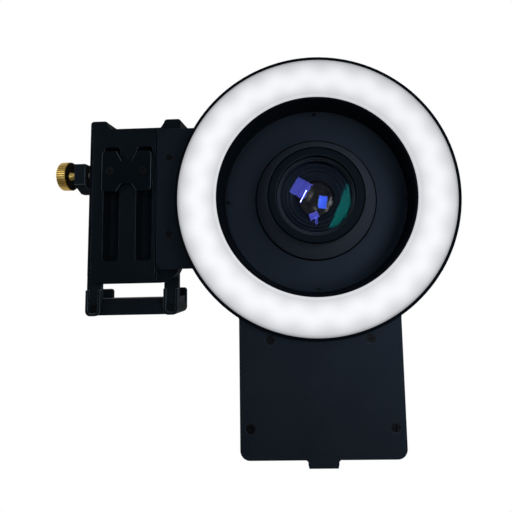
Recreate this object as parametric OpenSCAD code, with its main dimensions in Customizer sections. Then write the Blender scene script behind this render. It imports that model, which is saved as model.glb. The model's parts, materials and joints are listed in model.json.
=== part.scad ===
// Macro lens in a lit ring, with a control box below it and a sliding clamp at its side.
// The optical axis is Y: the front of the lens ring lies at y = 0 and +Y points to the back. +Z is up.

/* [Light ring] */
// Outer diameter of the ring housing
ring_d = 120; // [112:1:130]
// Wall between the lit face and the outside
rim_wall = 1.6; // [1.2:0.1:2.4]
// Diameter of the recess round the lens
recess_d = 82.6; // [78:0.2:86]
// Wall between the lit face and the recess
inner_wall = 1; // [0.8:0.1:1.6]
// How far the lit face stands in front of the lens
lit_proud = 1; // [0.4:0.1:2]
// How far the rim stays behind the lit face
rim_set = 0.6; // [0.2:0.1:1.2]
// Depth of the recess behind the lit face
recess_depth = 17.4; // [16:0.2:20]
// Thickness of the diffuser at its crown
diffuser_t = 2.2; // [1.8:0.1:3]
// Rounding of the diffuser's outer edge
diffuser_round = 1.4; // [0.6:0.1:1.7]
// Height of the reflector tray
tray_h = 7; // [5:0.2:8]
// Thickness of the lamp board
lamp_board_t = 1.6; // [1:0.1:2]
// Thickness of the floor under the lamp board
floor_t = 2.4; // [1.8:0.1:3]
// Number of lamps
lamp_count = 25; // [12:1:30]
// Lamp chip, length along the ring
lamp_l = 3.5; // [2:0.1:4]
// Lamp chip, width across the ring
lamp_w = 2.8; // [2:0.1:3.5]
// Lamp chip, height
lamp_h = 0.8; // [0.5:0.1:1]
// Wall of the rear shell
shell_wall = 1.8; // [1.4:0.1:2.4]
// Number of screws in the back of the ring
shell_screws_n = 6; // [4:2:8]

/* [Lens] */
// Outer diameter of the lens front ring
lens_d = 41.9; // [38:0.1:46]
// Inside diameter of the filter thread
filter_d = 33.5; // [30:0.5:36]
// Length of the filter thread
filter_l = 3.2; // [2.5:0.1:4]
// Diameter of the barrel's flared foot
foot_d = 54.8; // [48:0.2:60]
// Height of the straight edge of the foot
foot_edge = 1; // [0.5:0.1:2]
// Diameter of the barrel's tail
tail_d = 34; // [32:0.5:38]
// Thickness of the lens plate
plate_t = 2; // [1.5:0.1:3]
// Diameter of the aperture between the glasses
aperture_d = 15.4; // [10:0.2:20]
// Diameter of the front glass
front_glass_d = 35; // [33.5:0.1:36]
// Diameter of the rear glass
rear_glass_d = 24.8; // [21:0.2:27]
// Outer diameter of the lock ring behind the lens plate
lock_ring_d = 42; // [39:0.5:48]
// Thickness of the gasket on the back
gasket_t = 0.8; // [0.4:0.1:1.5]

/* [Control box] */
// Width of the box
box_w = 67; // [60:0.5:76]
// How far the box reaches below the ring
box_drop = 46.8; // [42:0.2:60]
// Rounding of the lower corners
box_corner = 4; // [2:0.5:6]
// Rounding where the box meets the ring
box_fillet = 3.5; // [2:0.5:6]
// How far the cover stays behind the lit face
cover_set = 4; // [3:0.2:6]
// Thickness of the cover
cover_t = 2.4; // [2:0.1:3]
// Distance between the two upper cover screws
upper_screw_gap = 41.2; // [34:0.2:48]
// Distance from the ring to the upper cover screws
upper_screw_rim = 2.9; // [2.8:0.1:4]
// Distance between the two lower cover screws
lower_screw_gap = 58.4; // [56.5:0.2:60]
// Height of the lower cover screws above the bottom
lower_screw_up = 12.1; // [9:0.1:20]
// Width of the power key
key_w = 12.4; // [8:0.2:18]
// How far the key stands out of the box
key_out = 4.1; // [2:0.1:6]
// Travel of the key
key_travel = 0.8; // [0.4:0.1:1]
// Battery, width
battery_w = 39.6; // [30:0.2:40]
// Battery, height
battery_h = 28; // [20:0.5:29]
// Battery, thickness
battery_t = 8; // [6:0.1:8.5]
// Driver board, width
driver_w = 50; // [48:0.5:51]
// Driver board, height
driver_h = 35; // [33:0.2:36]
// Driver board, thickness
driver_t = 1.6; // [1:0.1:2]
// Charging port, distance from the middle
port_x = 17; // [15:0.5:19]
// Charging port, width
port_w = 9; // [8:0.1:10]
// Charging port, height
port_h = 3.2; // [2.8:0.1:3.4]
// Charging port, length
port_l = 7.4; // [6:0.1:9]

/* [Clamp] */
// Space between the pads at rest
grip_w = 75.5; // [70:0.5:82]
// How far the middle of the grip lies below the optical axis
grip_drop = 4.4; // [0:0.2:8]
// Thickness of a device that goes under the claws
grip_depth = 9.5; // [7:0.5:14]
// Space between the ring and the clamp frame
frame_gap = 1.2; // [0.8:0.1:3]
// Clamp frame, width
frame_w = 42; // [41:0.2:50]
// Clamp frame, height
frame_h = 70.9; // [70:0.5:80]
// Clamp frame, thickness of the base
frame_t = 5.5; // [4.5:0.1:7]
// Raised panel, thickness
panel_t = 2.5; // [1.5:0.1:3.5]
// Raised panel, width
panel_w = 28.9; // [27:0.1:29]
// Raised panel, distance from the frame's outer edge
panel_in = 2.5; // [2:0.1:3]
// Width of the guide slots
slot_w = 7.4; // [6:0.1:8]
// Distance between the guide slots
slot_pitch = 14.9; // [14:0.1:15.5]
// Middle of the slots, distance from the frame's outer edge
slot_in = 18.8; // [18:0.1:19.4]
// Upper end of the slots, distance from the frame's top
slot_top_in = 9.4; // [7:0.2:11]
// Closing travel of the jaw
travel_close = 2; // [1:0.5:4]
// Opening travel of the jaw
travel_open = 31; // [24:0.5:32]
// Length of the guides in the slots
guide_l = 17; // [12:0.5:17.5]
// Width of the claws
claw_w = 7.8; // [5:0.2:10]
// Height of the upper claws above the frame
claw_h = 3.8; // [3:0.1:6]
// Width of the slope at the inner foot of the upper claws
claw_slope = 1.6; // [1:0.2:4]
// Thickness of the claw lips
lip_t = 2; // [1.5:0.1:3]
// How far the lips reach over a device
lip_over = 3.6; // [2:0.2:5]
// Thickness of the upper pads
upper_pad_t = 2; // [1:0.1:3]
// Thickness of the lower pad
lower_pad_t = 3; // [2:0.1:4]
// Thickness of the pad on the jaw's back
back_pad_t = 0.8; // [0.4:0.1:1.5]
// Jaw carriage, thickness
carriage_t = 1.9; // [1.5:0.1:2.5]
// Jaw bar, height
bar_h = 4.9; // [4:0.1:7]
// Width of the jaw's legs
leg_w = 6.8; // [6:0.1:8]
// Slider plate, thickness
slider_t = 1.9; // [1.5:0.1:2.5]
// Arm from the ring to the clamp, thickness
arm_t = 4; // [3.5:0.1:5]
// Arm, how far it laps over the frame
arm_lap = 9.65; // [8:0.1:9.9]
// Arm, height
arm_h = 63; // [54:0.5:66]
// Distance between the two frame screws
frame_screw_gap = 34.4; // [28:0.2:40]

/* [Lock screw] */
// Diameter of the knurled head
knob_d = 13; // [10:0.5:14]
// Length of the knurled head
knob_l = 4.7; // [3.5:0.1:7]
// Number of knurls
knob_teeth = 40; // [24:2:56]
// Diameter of the screw's shank
lock_d = 4; // [3:0.5:5]
// Space between the head and the lug
knob_gap = 2.7; // [2:0.1:4]
// Width of the lug
lug_w = 4.9; // [4:0.1:8]
// Space between the lug and the frame
lug_gap = 1; // [0.9:0.1:2]
// Height of the lug's face
lug_h = 9.4; // [8:0.2:12]

/* [Hidden] */
$fn = 96;

// Clearances
fit = 0.05;
seam_fit = 0.15;
slide_fit = 0.15;
slide_gap = 0.3;
stop_gap = 0.7;
over = 1;
screw_room = 0.3;
drive_share = 0.6;

// Radii of the ring
ring_r = ring_d / 2;
rim_in_r = ring_r - rim_wall;
recess_r = recess_d / 2;
lit_in_r = recess_r + inner_wall;
lamp_r = (rim_in_r + lit_in_r) / 2;
lead_in = 3.4;
lead_r = rim_in_r - lead_in;
lead_hole_r = 2.2;
diffuser_chamfer = 0.4;
tray_edge = 0.6;
tray_slope = 2.2;
lamp_room = 0.2;

// Planes of the head, from the front to the back
face_y = -lit_proud;
rim_y = face_y + rim_set;
tray_y = face_y + diffuser_t;
lamp_board_y = tray_y + tray_h;
floor_y = lamp_board_y + lamp_board_t;
seam_y = floor_y + floor_t;
plate_y = face_y + recess_depth;
plate_back_y = plate_y + plate_t;
seat_h = 1;
inner_back_y = plate_back_y + seat_h;
post_end_y = inner_back_y + shell_wall / 2;
back_y = inner_back_y + shell_wall;
device_y = back_y + gasket_t;
cover_y = face_y + cover_set;
tub_y = cover_y + cover_t;

// Lens plate and its screws
plate_lap = 0.7;
plate_seat_w = 3.3;
plate_screw_in = 1.3;
plate_r = lit_in_r + plate_lap;
plate_seat_in_r = recess_r - plate_seat_w;
plate_screw_circle = recess_r - plate_screw_in;
plate_screw_r = 0.5;
plate_screw_head_r = 0.8;
plate_screw_head_t = 0.5;
plate_screw_at = [for (a = [0 : 90 : 270]) plate_screw_circle * [cos(a), sin(a)]];

// Lens
lens_r = lens_d / 2;
filter_r = filter_d / 2;
neck_set = 0.7;
neck_r = lens_r - neck_set;
neck_l = 1.8;
foot_r = foot_d / 2;
tail_r = tail_d / 2;
tail_set = 0.4;
tail_end_y = back_y - tail_set;
bore_r = front_glass_d / 2 + fit;
sleeve_l = 1.8;
glass_front_y = filter_l + sleeve_l;
glass_edge_t = 2;
retain_lip = 0.9;
front_glass_sag = 1.5;
dome_in = 0.3;
spacer_y = glass_front_y + glass_edge_t;
spacer_l = 4.2;
shoulder_y = spacer_y + spacer_l;
shoulder_t = 2;
rear_glass_y = shoulder_y + shoulder_t;
rear_glass_edge_t = 3;
rear_glass_sag = 1.2;
rear_bore_r = rear_glass_d / 2 + fit;
retainer_y = rear_glass_y + rear_glass_edge_t;
retainer_l = 2;
retainer_w = 2.6;
retainer_in_r = rear_glass_d / 2 - retainer_w;
spacer_steps = 4;
spacer_wall = 2;
spacer_ledge = 0.8;
key_slot_w = 1;
key_slot_d = 0.8;
key_slot_l = 1.8;
lock_notch_w = 2;
lock_notch_d = 1.4;
lock_ring_r = lock_ring_d / 2;
lock_ring_t = 2;
wrench_room = 5;
gasket_set = 1;
rear_hole_r = lock_ring_r + wrench_room;
gasket_in_r = rear_hole_r + gasket_set;
gasket_w = 6;

// Screws in the back of the ring
shell_post_r = 3;
shell_screw_r = 1;
shell_screw_head_r = 2;
shell_screw_head_t = 1.2;
shell_screw_at = [for (i = [0 : shell_screws_n - 1]) let (a = i * 360 / shell_screws_n)
    [lamp_r * cos(a), lamp_r * sin(a)]];

// Control box
box_bottom_z = -(ring_r + box_drop);
box_half_w = box_w / 2;
box_root_z = -ring_r / 2;
box_inner_corner = max(box_corner - shell_wall, 0.5);
fillet_bite = 0.05;
fillet_x = box_half_w + box_fillet;
fillet_z = -sqrt(pow(ring_r + box_fillet, 2) - pow(fillet_x, 2));
cover_screw_r = 1.1;
cover_screw_head_r = 2;
cover_screw_head_t = 1.2;
cover_screw_l = 9;
upper_screw_x = upper_screw_gap / 2;
upper_screw_z = -sqrt(pow(ring_r + upper_screw_rim, 2) - pow(upper_screw_x, 2));
lower_screw_x = lower_screw_gap / 2;
lower_screw_z = box_bottom_z + lower_screw_up;
cover_screw_at = [[-upper_screw_x, upper_screw_z], [upper_screw_x, upper_screw_z],
    [-lower_screw_x, lower_screw_z], [lower_screw_x, lower_screw_z]];
cover_post_r = 2.6;

// Inside the box
battery_y = inner_back_y - battery_t;
battery_board_gap = 0.8;
battery_corner = 2;
driver_y = battery_y - battery_board_gap - driver_t;
switch_up = 5.4;
switch_set = 0.4;
switch_z = box_bottom_z + switch_up;
driver_z = switch_z + switch_set;
driver_top_z = driver_z + driver_h;
driver_post_r = 2.2;
driver_post_in = 2.5;
driver_post_up = 3;
driver_screw_r = 0.9;
driver_screw_head_r = 1.8;
driver_screw_head_t = 1;
driver_screw_l = 6;
driver_post_x = driver_w / 2 - driver_post_in;
driver_post_low = driver_z + driver_post_up;
driver_post_top = driver_top_z - driver_post_up;
driver_post_at = [[-driver_post_x, driver_post_low], [driver_post_x, driver_post_low],
    [-driver_post_x, driver_post_top], [driver_post_x, driver_post_top]];
battery_up = 2.5;
battery_z = driver_z + battery_up;
port_set = 0.2;
port_wall = 0.35;
port_end = 1;
switch_w = 6;
switch_depth = 3.2;
switch_h = 4;
switch_bore_r = 1.2;
switch_bore_l = 1.8;
switch_y = driver_y - switch_depth / 2;

// Power key
key_fit = 0.25;
key_hole_x = key_w / 2 + key_fit;
key_set = 0.2;
key_y = tub_y + slide_gap;
key_back_y = driver_y - key_set;
key_flange_w = 1.5;
key_flange_x = key_w / 2 + key_flange_w;
key_flange_t = 1.5;
key_seat_gap = 0.1;
key_flange_z = box_bottom_z + shell_wall + key_seat_gap;
key_proud = 0.1;
tab_out = key_out - key_travel - key_proud;
key_stem_gap = 0.1;
key_stem_r = switch_bore_r - key_stem_gap;
key_stem_in = 0.4;
key_taper = 0.35;
key_guard = 1.2;

// Leads inside
lead_wire_r = 0.6;
lead_x = 1.3;
lead_at = [[-lead_x, -lead_r], [lead_x, -lead_r]];
lead_drop = 2;
lead_run_y = seam_y + lead_drop;
lead_end_z = driver_top_z - lead_drop;
lead_window_w = 8;
lead_window_h = 3.2;
battery_lead_x = 7;
battery_lead_y = inner_back_y - battery_t / 2;

// Planes of the clamp, from the device to the front
carriage_back_y = device_y - back_pad_t;
carriage_y = carriage_back_y - carriage_t;
frame_back_y = carriage_y - slide_gap;
frame_y = frame_back_y - frame_t;
panel_y = frame_y - panel_t;
slider_back_y = panel_y - slide_gap;
slider_y = slider_back_y - slider_t;
arm_y = frame_y - arm_t;
lip_y = device_y + grip_depth;
lip_back_y = lip_y + lip_t;

// Outline of the clamp, seen from the front
frame_right_x = -(ring_r + frame_gap);
frame_left_x = frame_right_x - frame_w;
grip_top_z = grip_w / 2 - grip_drop;
grip_low_z = grip_top_z - grip_w;
frame_top_z = grip_top_z + upper_pad_t;
frame_low_z = frame_top_z - frame_h;
frame_corner_left = 4;
frame_corner_right = 9;
claw_top_z = frame_top_z + claw_h;
claw_corner = 1.4;
claw_root_h = 3;
claw_root_z = frame_top_z - claw_root_h;
lip_end_z = grip_top_z - lip_over;
panel_left_x = frame_left_x + panel_in;
panel_top_in = 2.9;
low_edge = 0.6;
panel_top_z = frame_top_z - panel_top_in;
panel_low_z = frame_low_z + low_edge;
panel_corner = 1.5;
slot_mid_x = frame_left_x + slot_in;
slot_top_z = frame_top_z - slot_top_in;
slot_l = guide_l + travel_close + travel_open + 2 * stop_gap;
slot_low_z = slot_top_z - slot_l;
slot_corner = 1.8;
slot_x = [slot_mid_x - slot_pitch / 2, slot_mid_x + slot_pitch / 2];
claw_x = [frame_left_x, frame_right_x - claw_w];

// Arm
arm_left_x = frame_right_x - arm_lap;
arm_mid_z = 1.9;
arm_low_z = arm_mid_z - arm_h / 2;
arm_corner = 3.5;
arm_lip_w = 2.2;
arm_lip_t = 0.8;
arm_reach = ring_r * 0.75;
frame_screw_in = 3.9;
frame_screw_x = frame_right_x - frame_screw_in;
frame_screw_mid_z = 2.9;
frame_screw_at = [for (s = [-1, 1]) [frame_screw_x, frame_screw_mid_z + s * frame_screw_gap / 2]];
frame_screw_r = 1;
frame_screw_head_r = 1.7;
frame_screw_head_t = 1.6;
frame_screw_seat = arm_t / 2;
frame_screw_bite = 3.7;

// Jaw
guide_top_z = slot_top_z - travel_close - stop_gap;
guide_low_z = guide_top_z - guide_l;
guide_mid_z = (guide_top_z + guide_low_z) / 2;
guide_w = slot_w - 2 * slide_fit;
jaw_out = 2.8;
jaw_in = 2.2;
jaw_left_x = frame_left_x - jaw_out;
jaw_right_x = frame_right_x - jaw_in;
leg_x = [jaw_left_x, jaw_right_x - leg_w];
beam_low_z = frame_low_z + low_edge;
beam_h = 7;
spine_edge = 2;
spine_half_w = slot_pitch / 2 + slot_w / 2 + spine_edge;
spine_top_over = 3;
spine_top_z = slot_top_z + spine_top_over;
bar_top_z = grip_low_z - lower_pad_t;
bar_low_z = bar_top_z - bar_h;
leg_proud = 1;
leg_room = 0.8;
leg_front_y = frame_back_y - leg_proud;
leg_top_z = frame_low_z - travel_close - leg_room;
leg_rim = 1.2;
leg_corner = 2.4;
jaw_screw_r = 1;
jaw_screw_head_r = 1.8;
jaw_screw_z = bar_low_z + leg_rim + jaw_screw_head_r + screw_room;
jaw_screw_head_t = 0.9;
jaw_screw_bite = 4;
jaw_screw_at = [for (x = leg_x) [x + leg_w / 2, jaw_screw_z]];
pad_in = 0.4;
back_pad_in = 0.9;
back_pad_corner = 2;
slider_over = 0.45;
slider_w = slot_pitch + slot_w;
slider_corner = 1.8;
slider_top_z = guide_top_z + slider_over;
slider_low_z = guide_low_z - 2 * slider_over;
slider_notch_top = 4.7;
slider_notch_mouth = 9.3;
slider_notch_h = 3.4;
slider_upper_notch_h = 4.5;
slider_screw_r = 1;
slider_screw_head_r = 1.8;
slider_screw_head_t = 1.1;
slider_screw_bite = 4;
slider_screw_at = [for (x = slot_x) [x, guide_mid_z]];

// Lock screw
knob_r = knob_d / 2;
lock_r = lock_d / 2;
knob_room = 0.5;
lock_low = 0.85;
lock_y = device_y - knob_r - knob_room;
lock_z = guide_mid_z - lock_low;
lug_right_x = frame_left_x - lug_gap;
lug_left_x = lug_right_x - lug_w;
lug_back = 0.7;
lug_up = 0.2;
lug_front_y = lock_y - lug_h / 2 + lug_back;
lug_top_z = lock_z + lug_h / 2 + lug_up;
lug_face_low_z = lug_top_z - lug_h;
lug_gusset = 3.4;
bush_wall = 1;
knob_right_x = lug_left_x - knob_gap;
tip_contact = 0.1;
tip_l = 0.7;
tip_edge = 0.4;
tip_r = lock_r - tip_edge;
tip_stem_r = lock_r * 0.4;
tip_stem_l = 1.6;
knurl_depth = 0.35;
knob_round = 0.9;
knob_edge = 0.5;

// Helpers
// Extrudes a shape drawn in x and z, from y0 to y1
module slab(y0, y1) translate([0, y1, 0]) rotate([90, 0, 0]) linear_extrude(y1 - y0) children();
// Extrudes a shape drawn in y and z, from x0 to x1
module along_x(x0, x1) translate([x0, 0, 0]) rotate([90, 0, 90]) linear_extrude(x1 - x0) children();
// Turns a shape drawn in radius and y about the optical axis
module turned() rotate([-90, 0, 0]) rotate_extrude() children();
// Round bar along y at a place in x and z
module bar_y(r, y0, y1, x = 0, z = 0)
    translate([x, y0, z]) rotate([-90, 0, 0]) cylinder(r = r, h = y1 - y0);
// Puts a shape at each of some places in x and z
module at(places) for (p = places) translate([p[0], 0, p[1]]) children();
// Round bar along x at a place in y and z
module bar_x(r, x0, x1, y, z) translate([x0, y, z]) rotate([0, 90, 0]) cylinder(r = r, h = x1 - x0);
// Round bar along z at a place in x and y
module bar_z(r, z0, z1, x, y) translate([x, y, z0]) cylinder(r = r, h = z1 - z0);
// Rectangle from corner to corner
module rect(x0, z0, x1, z1) translate([x0, z0]) square([x1 - x0, z1 - z0]);
// Rectangle with four rounded corners
module round_rect(x0, z0, x1, z1, r) {
    rect(x0 + r, z0, x1 - r, z1);
    rect(x0, z0 + r, x1, z1 - r);
    for (x = [x0 + r, x1 - r], z = [z0 + r, z1 - r]) translate([x, z]) circle(r);
}
// Rectangle with rounded lower corners
module low_round_rect(x0, z0, x1, z1, r_left, r_right) {
    r = max(r_left, r_right);
    rect(x0, z0 + r, x1, z1);
    rect(x0 + r_left, z0, x1 - r_right, z1);
    rect(x0, z0 + r_left, x0 + r, z1);
    rect(x1 - r, z0 + r_right, x1, z1);
    translate([x0 + r_left, z0 + r_left]) circle(r_left);
    translate([x1 - r_right, z0 + r_right]) circle(r_right);
}
// Crossed slots of a screw's drive, cut into a head at the front of y = 0
module cross_cut(r, depth) {
    w = r * 0.44;
    for (a = [0, 90]) rotate([0, a, 0]) translate([-r, -over, -w / 2]) cube([2 * r, depth + over, w]);
}
// Countersunk screw along +y with the face of its head at y = 0
module flush_screw(head_r, head_t, r, l) {
    difference() {
        union() {
            rotate([-90, 0, 0]) cylinder(r1 = head_r, r2 = r, h = head_t);
            bar_y(r, head_t, l);
        }
        cross_cut(head_r * drive_share, head_t * drive_share);
    }
}
// Hole for a countersunk screw
module flush_hole(head_r, head_t, r, l) {
    rotate([-90, 0, 0]) cylinder(r1 = head_r + fit, r2 = r + fit, h = head_t + fit);
    bar_y(head_r + fit, -over, 0);
    bar_y(r + fit, 0, l + fit);
}
// Cheese-head screw along +y with the seat of its head at y = 0
module head_screw(head_r, head_t, r, l) {
    difference() {
        union() {
            bar_y(head_r, -head_t, 0);
            bar_y(r, 0, l);
        }
        translate([0, -head_t, 0]) cross_cut(head_r * drive_share, head_t * drive_share);
    }
}

// Outline of the control box with the small fillets where it meets the ring
module box_outline() {
    low_round_rect(-box_half_w, box_bottom_z, box_half_w, fillet_z + over, box_corner, box_corner);
    rect(-box_half_w, fillet_z, box_half_w, box_root_z);
    for (side = [-1, 1]) scale_x(side) difference() {
        rim = ring_r / (ring_r + box_fillet);
        inner = (ring_r - over) / (ring_r + box_fillet);
        polygon([[fillet_x, fillet_z], [box_half_w - over, fillet_z], [fillet_x, fillet_z] * inner,
            [fillet_x, fillet_z] * rim]);
        translate([fillet_x, fillet_z]) circle(box_fillet + fillet_bite);
    }
}
// Mirrors a shape to the other side of x = 0 when side is -1
module scale_x(side) {
    if (side < 0) mirror([1, 0]) children();
    else children();
}
// Space inside the control box
module box_inside() {
    difference() {
        low_round_rect(-box_half_w + shell_wall, box_bottom_z + shell_wall, box_half_w - shell_wall,
            box_root_z, box_inner_corner, box_inner_corner);
        circle(ring_r + seam_fit + shell_wall);
    }
}

// Light ring
module front_ring() color("#17191c") difference() {
    turned() polygon([[rim_in_r, rim_y], [ring_r, rim_y], [ring_r, seam_y], [lit_in_r, seam_y],
        [lit_in_r, plate_y], [recess_r, plate_y], [recess_r, rim_y], [lit_in_r, rim_y],
        [lit_in_r, floor_y], [rim_in_r, floor_y]]);
    bar_y(lead_hole_r, floor_y - over, seam_y + over, 0, -lead_r);
    at(shell_screw_at) bar_y(shell_screw_r + fit, floor_y + screw_room, seam_y + over);
}
// Milky ring with a rounded outer edge
module diffuser() color("#f4f7fb") {
    in_r = lit_in_r + fit;
    out_r = rim_in_r - fit;
    edge = [for (a = [90 : -15 : 0]) [out_r - diffuser_round + diffuser_round * cos(a),
        face_y + diffuser_round - diffuser_round * sin(a)]];
    turned() polygon(concat([[in_r, tray_y], [in_r, face_y + diffuser_chamfer],
        [in_r + diffuser_chamfer, face_y]], edge, [[out_r, tray_y]]));
}
module reflector_tray() color("#f2f2ee") {
    in_r = lit_in_r + fit;
    out_r = rim_in_r - fit;
    low_in_r = in_r + tray_edge + tray_slope;
    low_out_r = out_r - tray_edge - tray_slope;
    tray_floor_y = lamp_board_y - lamp_h;
    difference() {
        turned() polygon([[in_r, tray_y], [in_r + tray_edge, tray_y], [low_in_r, tray_floor_y],
            [low_out_r, tray_floor_y], [out_r - tray_edge, tray_y], [out_r, tray_y], [out_r, lamp_board_y],
            [in_r, lamp_board_y]]);
        at_lamps() bar_y(norm([lamp_l, lamp_w]) / 2 + lamp_room, tray_floor_y - over, lamp_board_y + over);
    }
}
module at_lamps() {
    for (i = [0 : lamp_count - 1])
        rotate([0, 90 - (i + 0.5) * 360 / lamp_count, 0]) translate([lamp_r, 0, 0]) children();
}
module lamp_board() color("#eceee8") difference() {
    turned() rect(lit_in_r + fit, lamp_board_y, rim_in_r - fit, floor_y);
    at(lead_at) bar_y(lead_wire_r + fit, lamp_board_y - over, floor_y + over);
}
module lamps() color("#fff2c4") at_lamps()
    translate([-lamp_w / 2, lamp_board_y - lamp_h, -lamp_l / 2]) cube([lamp_w, lamp_h, lamp_l]);
// Back of the ring, tub of the control box and arm to the clamp
module rear_shell() color("#15171a") difference() {
    union() {
        difference() {
            union() {
                slab(seam_y, back_y) {
                    circle(ring_r);
                    box_outline();
                }
                slab(tub_y, seam_y) difference() {
                    box_outline();
                    circle(ring_r + seam_fit);
                }
            }
            slab(seam_y - over, plate_back_y) circle(rim_in_r);
            slab(plate_back_y - over, inner_back_y) {
                difference() {
                    circle(rim_in_r);
                    circle(plate_r);
                }
                circle(plate_seat_in_r);
            }
            slab(tub_y - over, inner_back_y) box_inside();
        }
        at(shell_screw_at) bar_y(shell_post_r, seam_y, post_end_y);
        at(cover_screw_at) bar_y(cover_post_r, tub_y, post_end_y);
        at(driver_post_at) bar_y(driver_post_r, driver_y + driver_t, post_end_y);
        arm();
    }
    bar_y(rear_hole_r, plate_back_y, back_y + over);
    at(shell_screw_at) bar_y(shell_screw_r + fit, seam_y - over, back_y);
    at(shell_screw_at) bar_y(shell_screw_head_r + fit, back_y - shell_screw_head_t, back_y + over);
    at(cover_screw_at) bar_y(cover_screw_r + fit, tub_y - over, cover_y + cover_screw_l + screw_room);
    at(driver_post_at) bar_y(driver_screw_r + fit, driver_y, driver_y + driver_screw_l + screw_room);
    at(plate_screw_at) bar_y(plate_screw_r + fit, plate_back_y - over, plate_back_y + seat_h);
    // Way for the leads between the ring and the box
    slab(lead_run_y - lead_window_h / 2, lead_run_y + lead_window_h / 2)
        rect(-lead_window_w / 2, -ring_r - shell_wall - over, lead_window_w / 2, -rim_in_r + over);
    // Openings in the bottom wall
    translate([-key_hole_x, tub_y - over, box_bottom_z - over])
        cube([2 * key_hole_x, key_back_y + key_fit - tub_y + over, shell_wall + 2 * over]);
    translate([port_x - port_w / 2 - key_fit, driver_y - port_h - key_fit, box_bottom_z - over])
        cube([port_w + 2 * key_fit, port_h + 2 * key_fit, shell_wall + 2 * over]);
    at(frame_screw_at) bar_y(frame_screw_head_r + fit, arm_y - arm_lip_t - over, arm_y + frame_screw_seat);
    at(frame_screw_at) bar_y(frame_screw_r + fit, arm_y, frame_y + over);
}
module arm_outline(left_x)
    low_round_rect(left_x, arm_low_z, -arm_reach, arm_low_z + arm_h, arm_corner, over);
// Plate that laps over the clamp frame, a web beside the frame and a lip along the ring
module arm() {
    clear_r = ring_r + seam_fit;
    web_x = frame_right_x + slide_gap;
    slab(arm_y, frame_y) difference() {
        arm_outline(arm_left_x);
        circle(clear_r);
    }
    slab(arm_y, frame_back_y) difference() {
        arm_outline(web_x);
        circle(clear_r);
    }
    slab(seam_y, frame_back_y) difference() {
        arm_outline(web_x);
        circle(ring_r - rim_wall / 2);
    }
    slab(arm_y - arm_lip_t, arm_y + over) intersection() {
        difference() {
            circle(clear_r + arm_lip_w);
            circle(clear_r);
        }
        arm_outline(arm_left_x);
    }
}
module shell_screws() color("#8d9096") {
    seat_y = back_y - shell_screw_head_t;
    at(shell_screw_at) translate([0, seat_y, 0]) rotate([180, 0, 0])
        head_screw(shell_screw_head_r, shell_screw_head_t - 2 * fit, shell_screw_r,
            seat_y - floor_y - 2 * screw_room);
}
module lens_plate() color("#16181d") difference() {
    turned() rect(tail_r + fit, plate_y, plate_r, plate_back_y);
    at(plate_screw_at) bar_y(plate_screw_r + fit, plate_y - over, plate_back_y + over);
    at(plate_screw_at) bar_y(plate_screw_head_r + fit, plate_y - over, plate_y + plate_screw_head_t);
}
module plate_screws() color("#0c0d0f") at(plate_screw_at) translate([0, plate_y + plate_screw_head_t, 0])
    head_screw(plate_screw_head_r, plate_screw_head_t, plate_screw_r,
        plate_t - plate_screw_head_t + seat_h - screw_room);

// Lens
module lens_barrel() color("#101215") turned() polygon([
    [bore_r, filter_l], [neck_r, filter_l], [neck_r, filter_l + neck_l], [foot_r, plate_y - foot_edge],
    [foot_r, plate_y], [tail_r, plate_y], [tail_r, tail_end_y], [rear_bore_r, tail_end_y],
    [rear_bore_r, rear_glass_y], [aperture_d / 2, rear_glass_y], [aperture_d / 2, shoulder_y],
    [bore_r, shoulder_y]]);
module lens_front_ring() color("#131518") turned() polygon([
    [filter_r, 0], [lens_r, 0], [lens_r, filter_l], [bore_r - fit, filter_l],
    [bore_r - fit, glass_front_y], [filter_r - retain_lip, glass_front_y],
    [filter_r - retain_lip, filter_l], [filter_r, filter_l]]);
// Points of a shallow dome in front of a plane, from the axis out to a half width
dome_steps = 8;
function dome(half, y, sag) = [for (i = [0 : dome_steps]) let (s = i / dome_steps)
    [half * s, y - sag * (1 - s * s)]];
module front_glass() color("#3a4a78", 0.5) {
    r = front_glass_d / 2;
    front = dome(filter_r - retain_lip - dome_in, glass_front_y, front_glass_sag);
    turned() polygon(concat(front, [[r, glass_front_y], [r, spacer_y], [0, spacer_y]]));
}
// Tube with baffle steps between the front glass and the aperture
module lens_spacer() color("#0d0e10") {
    r = front_glass_d / 2;
    wide = r - spacer_wall;
    step_l = spacer_l / spacer_steps;
    step_in = (wide - aperture_d / 2 - spacer_ledge) / spacer_steps;
    steps = [for (i = [0 : spacer_steps - 1], k = [0, 1])
        [wide - i * step_in, spacer_y + (i + k) * step_l]];
    turned() polygon(concat([[r, spacer_y]], steps, [[r, shoulder_y]]));
}
module rear_glass() color("#2f6f78", 0.5) {
    r = rear_glass_d / 2;
    front = dome(aperture_d / 2 - dome_in, rear_glass_y, rear_glass_sag);
    turned() polygon(concat(front, [[r, rear_glass_y], [r, retainer_y], [0, retainer_y]]));
}
module rear_retainer() color("#131518") difference() {
    turned() rect(retainer_in_r, retainer_y, rear_bore_r - fit, retainer_y + retainer_l);
    for (a = [0, 180]) rotate([0, a, 0])
        translate([retainer_in_r - over, retainer_y + retainer_l - key_slot_d, -key_slot_w / 2])
        cube([over + key_slot_l, over + key_slot_d, key_slot_w]);
}
module lens_lock_ring() color("#2a2c30") difference() {
    turned() rect(tail_r + fit, plate_back_y, lock_ring_r, plate_back_y + lock_ring_t);
    for (a = [0 : 90 : 270]) rotate([0, a, 0])
        translate([lock_ring_r - lock_notch_d, plate_back_y - over, -lock_notch_w / 2])
        cube([lock_notch_d + over, lock_ring_t + 2 * over, lock_notch_w]);
}
module rear_gasket() color("#202124")
    turned() rect(gasket_in_r, back_y, gasket_in_r + gasket_w, device_y);

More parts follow.
